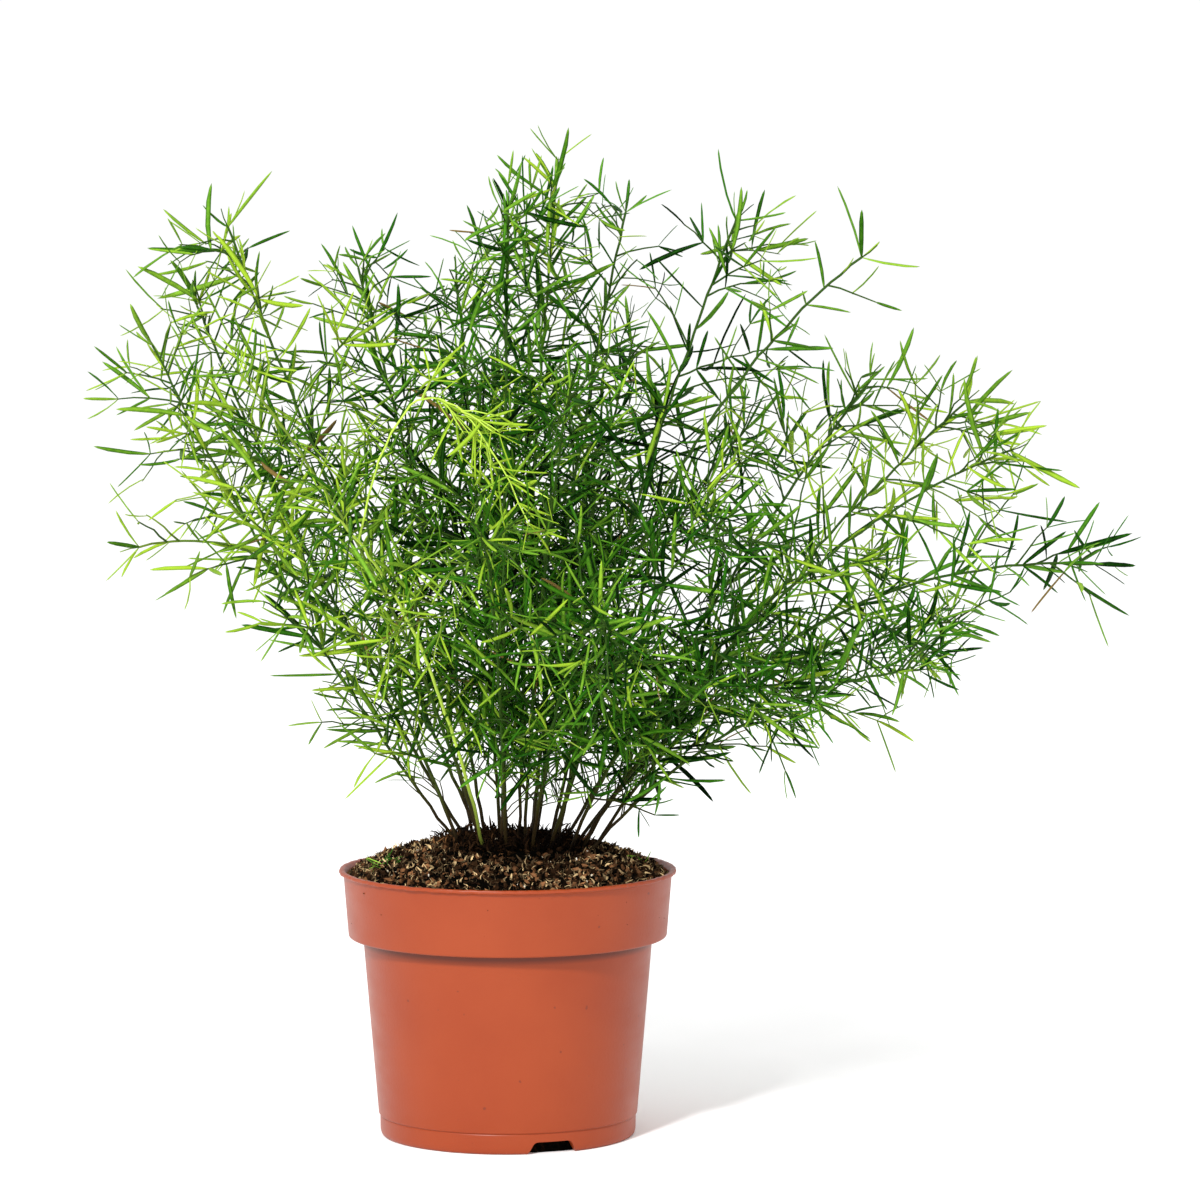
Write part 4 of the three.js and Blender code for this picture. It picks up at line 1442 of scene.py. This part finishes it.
def added_branches(plan, draw, turn, extra):
    """Side branches between two forks, a golden turn apart, and the last turn."""
    branches = []
    places = [*plan["forks"], 1.0]
    for low, high in zip(places, places[1:]):
        for i in range(extra):
            at = mix((low, high), (i + 0.6 + 0.6 * draw()) / (extra + 0.8))
            turn += GOLDEN_TURN
            length = max(12.0, plan["spread"] * fullness_at(at) * (0.6 + 0.45 * draw()))
            lean = BRANCH_LEAN + 0.3 * (draw() - 0.5)
            branch = side_arc(plan["arc"], min(at, 0.98), length, turn, lean, 0.1 + 0.3 * draw())
            if branch and at > plan["bare"]:
                branches.append(branch)
    return branches, turn


def add_low_twigs(runs, plan, draw, tone):
    """Short twigs near the foot of a stem."""
    for _ in range(LEFT_LOW_TWIGS if plan["index"] < LEFT_STEMS else LOW_TWIGS):
        at = mix((0.35, 1.1), draw()) * FIRST_BRANCH
        twig = side_arc(plan["arc"], at, 8 + 9 * draw(), draw() * FULL_TURN, 0.7)
        if twig:
            add_run(runs, twig, TWIG_RADIUS, draw, tone, 0.8, 0.25)


def tip_branches(plan, draw, turn):
    """Short branches close under the tip."""
    branches = []
    for i in range(TIP_BRANCHES):
        at, length = 0.86 + 0.13 * draw(), 16 + 14 * draw()
        around = turn + i * GOLDEN_TURN
        branch = side_arc(plan["arc"], at, length, around, 0.9, margin=TIP_MARGIN)
        if branch and plan["spread"] == 1:
            branches.append(branch)
    return branches


def stem_runs(plan):
    """All the wood of one stem, as chains of points with their values."""
    runs = {key: [] for key in ("points", "edges", *POINT_VALUES)}
    draw = seeded_draws(plan["index"] + TWIG_SEED)
    extra, size, shift, _ = DRESS[plan["index"]]
    tone = TONES[plan["tone"]] + shift
    add_stem(runs, plan, draw, tone, size)
    added, turn = added_branches(plan, draw, draw() * FULL_TURN, extra)
    if plan["spread"] == 1:
        add_low_twigs(runs, plan, draw, tone)
    branches = plan["branches"] + added + tip_branches(plan, draw, turn)
    add_leader(runs, plan, draw, tone, size)
    if plan["index"] == SHOOT_STEM:
        add_shoot(runs, plan, draw)
    for branch in branches:
        shade = tone + 0.24 * (draw() - 0.5)
        add_run(runs, branch, FINE_BRANCH_RADIUS, draw, shade, size, 0.12)
        if extra > 0:
            add_twigs(runs, branch, draw, shade, size)
    return runs


# %% [markdown]
# ## Colour of the needles
#
# The needles' green differs from stem to stem and from needle to needle: deep in the shaded
# middle, yellow-green on young shoots. One material for each green would give hard steps. So
# each point carries a tone, the tree below adds a little chance to it, and the material turns
# the tone into a colour. The midrib and both ends of a needle are paler, so they are a step
# further along the same ramp of greens. The needle's own UV says where they are, and noise adds
# streaks.

# %% Leaf material
DRY_BROWN = srgb(112, 92, 48)
MATURE_GREENS = [
    (0.0, srgb(1, 8, 1)),
    (0.28, srgb(9, 40, 3)),
    (0.5, srgb(34, 90, 12)),
    (0.7, srgb(72, 126, 30)),
    (LIME_TONE, srgb(108, 158, 48)),
    (1.0, DRY_BROWN),
]
YOUNG_GREENS = [
    (0.0, srgb(2, 12, 1)),
    (0.25, srgb(14, 48, 3)),
    (0.5, srgb(50, 96, 14)),
    (0.7, srgb(98, 136, 36)),
    (LIME_TONE, srgb(138, 170, 42)),
    (1.0, DRY_BROWN),
]


def off_middle(tree, share):
    """How far a share from 0 to 1 is from its middle."""
    return maths(tree, "ABSOLUTE", maths(tree, "SUBTRACT", share, 0.5))


def needle_green():
    material, tree, shader = start_material("needle_green", 0.45)
    uv = put(tree, "ShaderNodeUVMap").outputs[0]
    off_rib = off_middle(tree, along_axis(tree, uv, "X"))
    rib = map_range(tree, off_rib, 0.0, 0.16, 0.08, 0.0)
    ends = map_range(tree, off_middle(tree, along_axis(tree, uv, "Y")), 0.32, 0.5, 0.0, 0.12)
    streaks = swing(tree, object_noise(tree, 450, 3.0), 0.3)
    paler = maths(tree, "ADD", maths(tree, "ADD", rib, ends), streaks)
    tone = point_value(tree, "tone")
    share = maths(tree, "MINIMUM", maths(tree, "ADD", tone, paler), LIME_TONE)
    share = maths(tree, "MAXIMUM", share, maths(tree, "GREATER_THAN", tone, 0.95))
    is_young = map_range(tree, point_value(tree, "youth"), 0.56, 0.74)
    mature, young = ramp(tree, share, MATURE_GREENS), ramp(tree, share, YOUNG_GREENS)
    paint(tree, shader, blend_colours(tree, is_young, mature, young), 0.02)
    add_bump(tree, shader, off_rib, 0.0002, 0.4)
    return material


leaf_material = needle_green()
print("leaf material:", len(leaf_material.node_tree.nodes), "nodes")

# %% [markdown]
# ## Colour of the wood
#
# A stem is brown and woody at its foot and turns green within a few centimetres. Two materials
# with a cut between them would show a line. The height above the floor, broken up by blotches
# that are drawn out along the stem, leads one material from brown to green. The pale young stem
# blends to a yellow-green of its own.

# %% Wood material
WOOD_TURNS_GREEN = (0.1, 0.142)  # metres above the floor
BARK = [
    (0.0, srgb(20, 12, 8)),
    (0.3, srgb(46, 36, 17)),
    (0.65, srgb(52, 60, 20)),
    (1.0, srgb(44, 74, 20)),
]
YOUNG_WOOD = srgb(176, 206, 76)


def green_wood():
    material, tree, shader = start_material("green_wood", 0.5)
    height = along_axis(tree, object_place(tree), "Z")
    lifted = map_range(tree, height, *WOOD_TURNS_GREEN)
    blotches = swing(tree, object_noise(tree, 120, 3.0, (1, 1, 0.3)), 0.6)
    bark = ramp(tree, maths(tree, "ADD", lifted, blotches), BARK)
    young = map_range(tree, point_value(tree, "youth"), 0.8, 1.0, 0.0, 0.9)
    young = maths(tree, "MULTIPLY", young, lifted)
    paint(tree, shader, blend_colours(tree, young, bark, (*YOUNG_WOOD, 1)), 0.05)
    add_bump(tree, shader, object_noise(tree, 1500, 2.0, (1, 1, 0.12)), 0.0001, 0.7)
    return material


wood_material = green_wood()
print("wood material:", len(wood_material.node_tree.nodes), "nodes")

# %% [markdown]
# ## The tree that grows the foliage
#
# Needles sit in small groups along every twig, each on a brown scale, and each group is turned
# against the one before. Particle hair could place them, but it gives little say in how each
# needle stands. One Geometry Nodes tree dresses every stem instead. It turns the chains of edges
# into curves, sweeps a small circle along them for the wood, and lays points along the leafy
# stretches. Each point is doubled into one to three needles. A needle's turn round the wood goes
# on by the golden angle from one to the next, as in the living plant, and it opens away from the
# wood by about a radian.


# %% Foliage tree: wood, points and scales
WOOD_SIDES = 6
SCALE_LEAN = 0.35


def stored(tree, name):
    return put(tree, "GeometryNodeInputNamedAttribute", {"Name": name}, data_type="FLOAT").outputs[0]


def turned_by(tree, rotation, x, y, z):
    """A rotation that is turned further, about its own axes."""
    euler = put(tree, "ShaderNodeCombineXYZ", {0: x, 1: y, 2: z}).outputs[0]
    by = put(tree, "FunctionNodeEulerToRotation", {0: euler}).outputs[0]
    feeds = {"Rotation": rotation, "Rotate By": by}
    return put(tree, "FunctionNodeRotateRotation", feeds, rotation_space="LOCAL").outputs[0]


def golden_turns(tree):
    """A turn that goes on by the golden angle from each point to the next."""
    return maths(tree, "MULTIPLY", put(tree, "GeometryNodeInputIndex").outputs[0], GOLDEN_TURN)


def wood_along(tree, curve):
    """A small circle swept along the curves, and marked as wood."""
    feeds = {"Resolution": WOOD_SIDES, "Radius": 1.0}
    circle = put(tree, "GeometryNodeCurvePrimitiveCircle", feeds).outputs[0]
    feeds = {"Curve": curve, "Profile Curve": circle, "Scale": stored(tree, "wood_radius")}
    tubes = put(tree, "GeometryNodeCurveToMesh", {**feeds, "Fill Caps": True}).outputs[0]
    return keep_value(tree, tubes, "woody", 1.0, "POINT")


def leafy_points(tree, curve, spacing):
    """Points along the leafy stretches, and the way that the curve runs at each."""
    spots = put(tree, "GeometryNodeCurveToPoints", {0: curve, "Length": spacing}, mode="LENGTH")
    feeds = {0: spots.outputs[0], 1: maths(tree, "LESS_THAN", stored(tree, "leafy"), 0.5)}
    leafy = put(tree, "GeometryNodeDeleteGeometry", feeds, domain="POINT").outputs[0]
    return leafy, spots.outputs["Rotation"]


def brown_scales(tree, leafy, facing, collection):
    """One small scale at each point, leaning off the wood."""
    leaning = turned_by(tree, facing, SCALE_LEAN, 0.0, golden_turns(tree))
    feeds = {"Points": leafy, "Instance": shapes_of(tree, collection), "Rotation": leaning}
    feeds |= {"Scale": stored(tree, "needle_size")}
    scales = put(tree, "GeometryNodeInstanceOnPoints", feeds).outputs[0]
    return keep_value(tree, scales, "woody", 1.0, "INSTANCE")


# %% Foliage tree: how a needle stands and how green it is
SIDE_STRAY, OPENING_STRAY, ROLL_STRAY = 0.5, 0.28, 0.9  # radians, to either side
CLOSING_SHARE = 0.2  # how much less the needles open at the end of a twig
NEEDLE_SIZES = (0.6, 1.12)
TONE_STRAY = 0.3
DRY_SHARE = 0.006


def stray(tree, reach, given, step):
    """Chance to either side of 0. Each step of the seed is a separate run of chance."""
    seed = given["Seed"] if step == 0 else maths(tree, "ADD", given["Seed"], step)
    return chance(tree, -reach, reach, seed)


def needle_stance(tree, given, facing):
    """How each needle is turned: round the wood, away from it, about itself and upwards."""
    around = maths(tree, "ADD", golden_turns(tree), stray(tree, SIDE_STRAY, given, 0))
    closing = maths(tree, "MULTIPLY", stored(tree, "closing"), CLOSING_SHARE)
    opened = maths(tree, "MULTIPLY", given["Opening"], maths(tree, "SUBTRACT", 1.0, closing))
    opening = maths(tree, "ADD", opened, stray(tree, OPENING_STRAY, given, 1))
    turned = turned_by(tree, facing, opening, 0.0, around)
    turned = turned_by(tree, turned, 0.0, 0.0, stray(tree, ROLL_STRAY, given, 2))
    feeds = {"Rotation": turned, "Factor": given["Rise"], "Vector": (0, 0, 1)}
    return put(tree, "FunctionNodeAlignRotationToVector", feeds, axis="Z").outputs[0]


def tip_height(tree, size, turned):
    """How high the tip of a needle will be."""
    reach = maths(tree, "MULTIPLY", size, NEEDLE_LENGTH * MM)
    straight = put(tree, "ShaderNodeCombineXYZ", {2: reach}).outputs[0]
    feeds = {"Vector": straight, "Rotation": turned}
    ahead = put(tree, "FunctionNodeRotateVector", feeds).outputs[0]
    feeds = {0: put(tree, "GeometryNodeInputPosition").outputs[0], 1: ahead}
    tip = put(tree, "ShaderNodeVectorMath", feeds, operation="ADD").outputs[0]
    return along_axis(tree, tip, "Z")


def needle_tone(tree, given):
    """The twig's tone with a little chance, or 1 for a dry needle."""
    fresher = maths(tree, "ADD", stored(tree, "tone"), stray(tree, TONE_STRAY, given, 5))
    fresher = maths(tree, "MINIMUM", fresher, LIME_TONE)
    luck = chance(tree, 0.0, 1.0, maths(tree, "ADD", given["Seed"], 6))
    return maths(tree, "MAXIMUM", fresher, maths(tree, "GREATER_THAN", luck, 1 - DRY_SHARE))


# %% Foliage tree: put together
def green_needles(tree, given, leafy, facing):
    """One to three needles at each point, except those whose tip would reach the soil."""
    amount = chance(tree, given["Fewest"], given["Most"], given["Seed"], "INT")
    feeds = {"Geometry": leafy, "Amount": amount}
    doubled = put(tree, "GeometryNodeDuplicateElements", feeds, domain="POINT").outputs[0]
    turned = needle_stance(tree, given, facing)
    length = chance(tree, *NEEDLE_SIZES, maths(tree, "ADD", given["Seed"], 3))
    size = maths(tree, "MULTIPLY", stored(tree, "needle_size"), length)
    off_soil = maths(tree, "GREATER_THAN", tip_height(tree, size, turned), given["Lowest"])
    pick = chance(tree, 0, len(needles) - 1, maths(tree, "ADD", given["Seed"], 4), "INT")
    feeds = {"Points": doubled, "Instance": shapes_of(tree, given["Needles"])}
    feeds |= {"Pick Instance": True, "Instance Index": pick}
    feeds |= {"Rotation": turned, "Scale": size, "Selection": off_soil}
    blades = put(tree, "GeometryNodeInstanceOnPoints", feeds).outputs[0]
    return keep_value(tree, blades, "tone", needle_tone(tree, given), "INSTANCE")


def foliage_tree():
    inputs = [("Collection", ["Needles", "Scales"]), ("Material", ["Leaf", "Wood"])]
    inputs += [("Float", ["Spacing", "Opening", "Rise", "Lowest"]), ("Int", ["Fewest", "Most", "Seed"])]
    tree, given = start_tree("foliage", inputs)
    curve = put(tree, "GeometryNodeMeshToCurve", {0: given["Geometry"]}).outputs[0]
    leafy, facing = leafy_points(tree, curve, given["Spacing"])
    join = put(tree, "GeometryNodeJoinGeometry")
    tree.links.new(brown_scales(tree, leafy, facing, given["Scales"]), join.inputs[0])
    tree.links.new(green_needles(tree, given, leafy, facing), join.inputs[0])
    tree.links.new(wood_along(tree, curve), join.inputs[0])
    real = put(tree, "GeometryNodeRealizeInstances", {0: join.outputs[0]}).outputs[0]
    feeds = {"Geometry": real, "Material": given["Leaf"]}
    green = put(tree, "GeometryNodeSetMaterial", feeds).outputs[0]
    is_wood = maths(tree, "GREATER_THAN", stored(tree, "woody"), 0.5)
    feeds = {"Geometry": green, "Selection": is_wood, "Material": given["Wood"]}
    put(tree, "NodeGroupOutput", {0: put(tree, "GeometryNodeSetMaterial", feeds).outputs[0]})
    return tree


foliage = foliage_tree()
print("foliage tree:", len(foliage.nodes), "nodes")

# %% [markdown]
# ## Growing the stems
#
# Each stem grew as one piece, so each becomes one mesh that stands in for its solid. All could
# share one big mesh, but then a stem could not be picked, hidden or used on its own. The loop
# hands each stem's chains to the same tree, with its own spacing and seed, and keeps the plain
# mesh that comes out.

# %% Dress each stem
SLOTS = {"deep": "leaf_deep_green", "mid": "leaf_mid_green", "fresh": "leaf_fresh_green"}
SHARED_INPUTS = {
    "Needles": needle_shapes,
    "Scales": scale_shapes,
    "Leaf": leaf_material,
    "Wood": wood_material,
    "Opening": 1.02,
    "Rise": 0.03,
    "Lowest": SKIRT_HEIGHT * MM,
    "Fewest": 1,
    "Most": 3,
}


def chains_object(name, runs):
    """Chains of edges, with each run's values stored on their points."""
    chains = mesh_object(name, runs["points"], [], runs["edges"])
    for key in POINT_VALUES:
        layer = chains.data.attributes.new(key, "FLOAT", "POINT")
        layer.data.foreach_set("value", runs[key])
    return chains


def dress_stem(plan):
    """Grows one stem's foliage, and says how many triangles it has."""
    number = plan["index"] + 1
    stem = chains_object(f"stem_{number:02d}_foliage", stem_runs(plan))
    grow = stem.modifiers.new("grow", "NODES")
    grow.node_group = foliage
    *_, spacing = DRESS[plan["index"]]
    set_inputs(grow, SHARED_INPUTS | {"Spacing": spacing * MM, "Seed": 10 * number})
    mesh = evaluated_mesh(stem)
    mesh.calc_loop_triangles()
    finish_piece(stem, SLOTS[plan["tone"]], f"leafy_stem_{number:02d}")
    return len(mesh.loop_triangles)


triangles = [dress_stem(plan) for plan in plans]
discard(needle_shapes)
discard(scale_shapes)
print("foliage triangles:", sum(triangles), "and", max(triangles), "in the fullest stem")
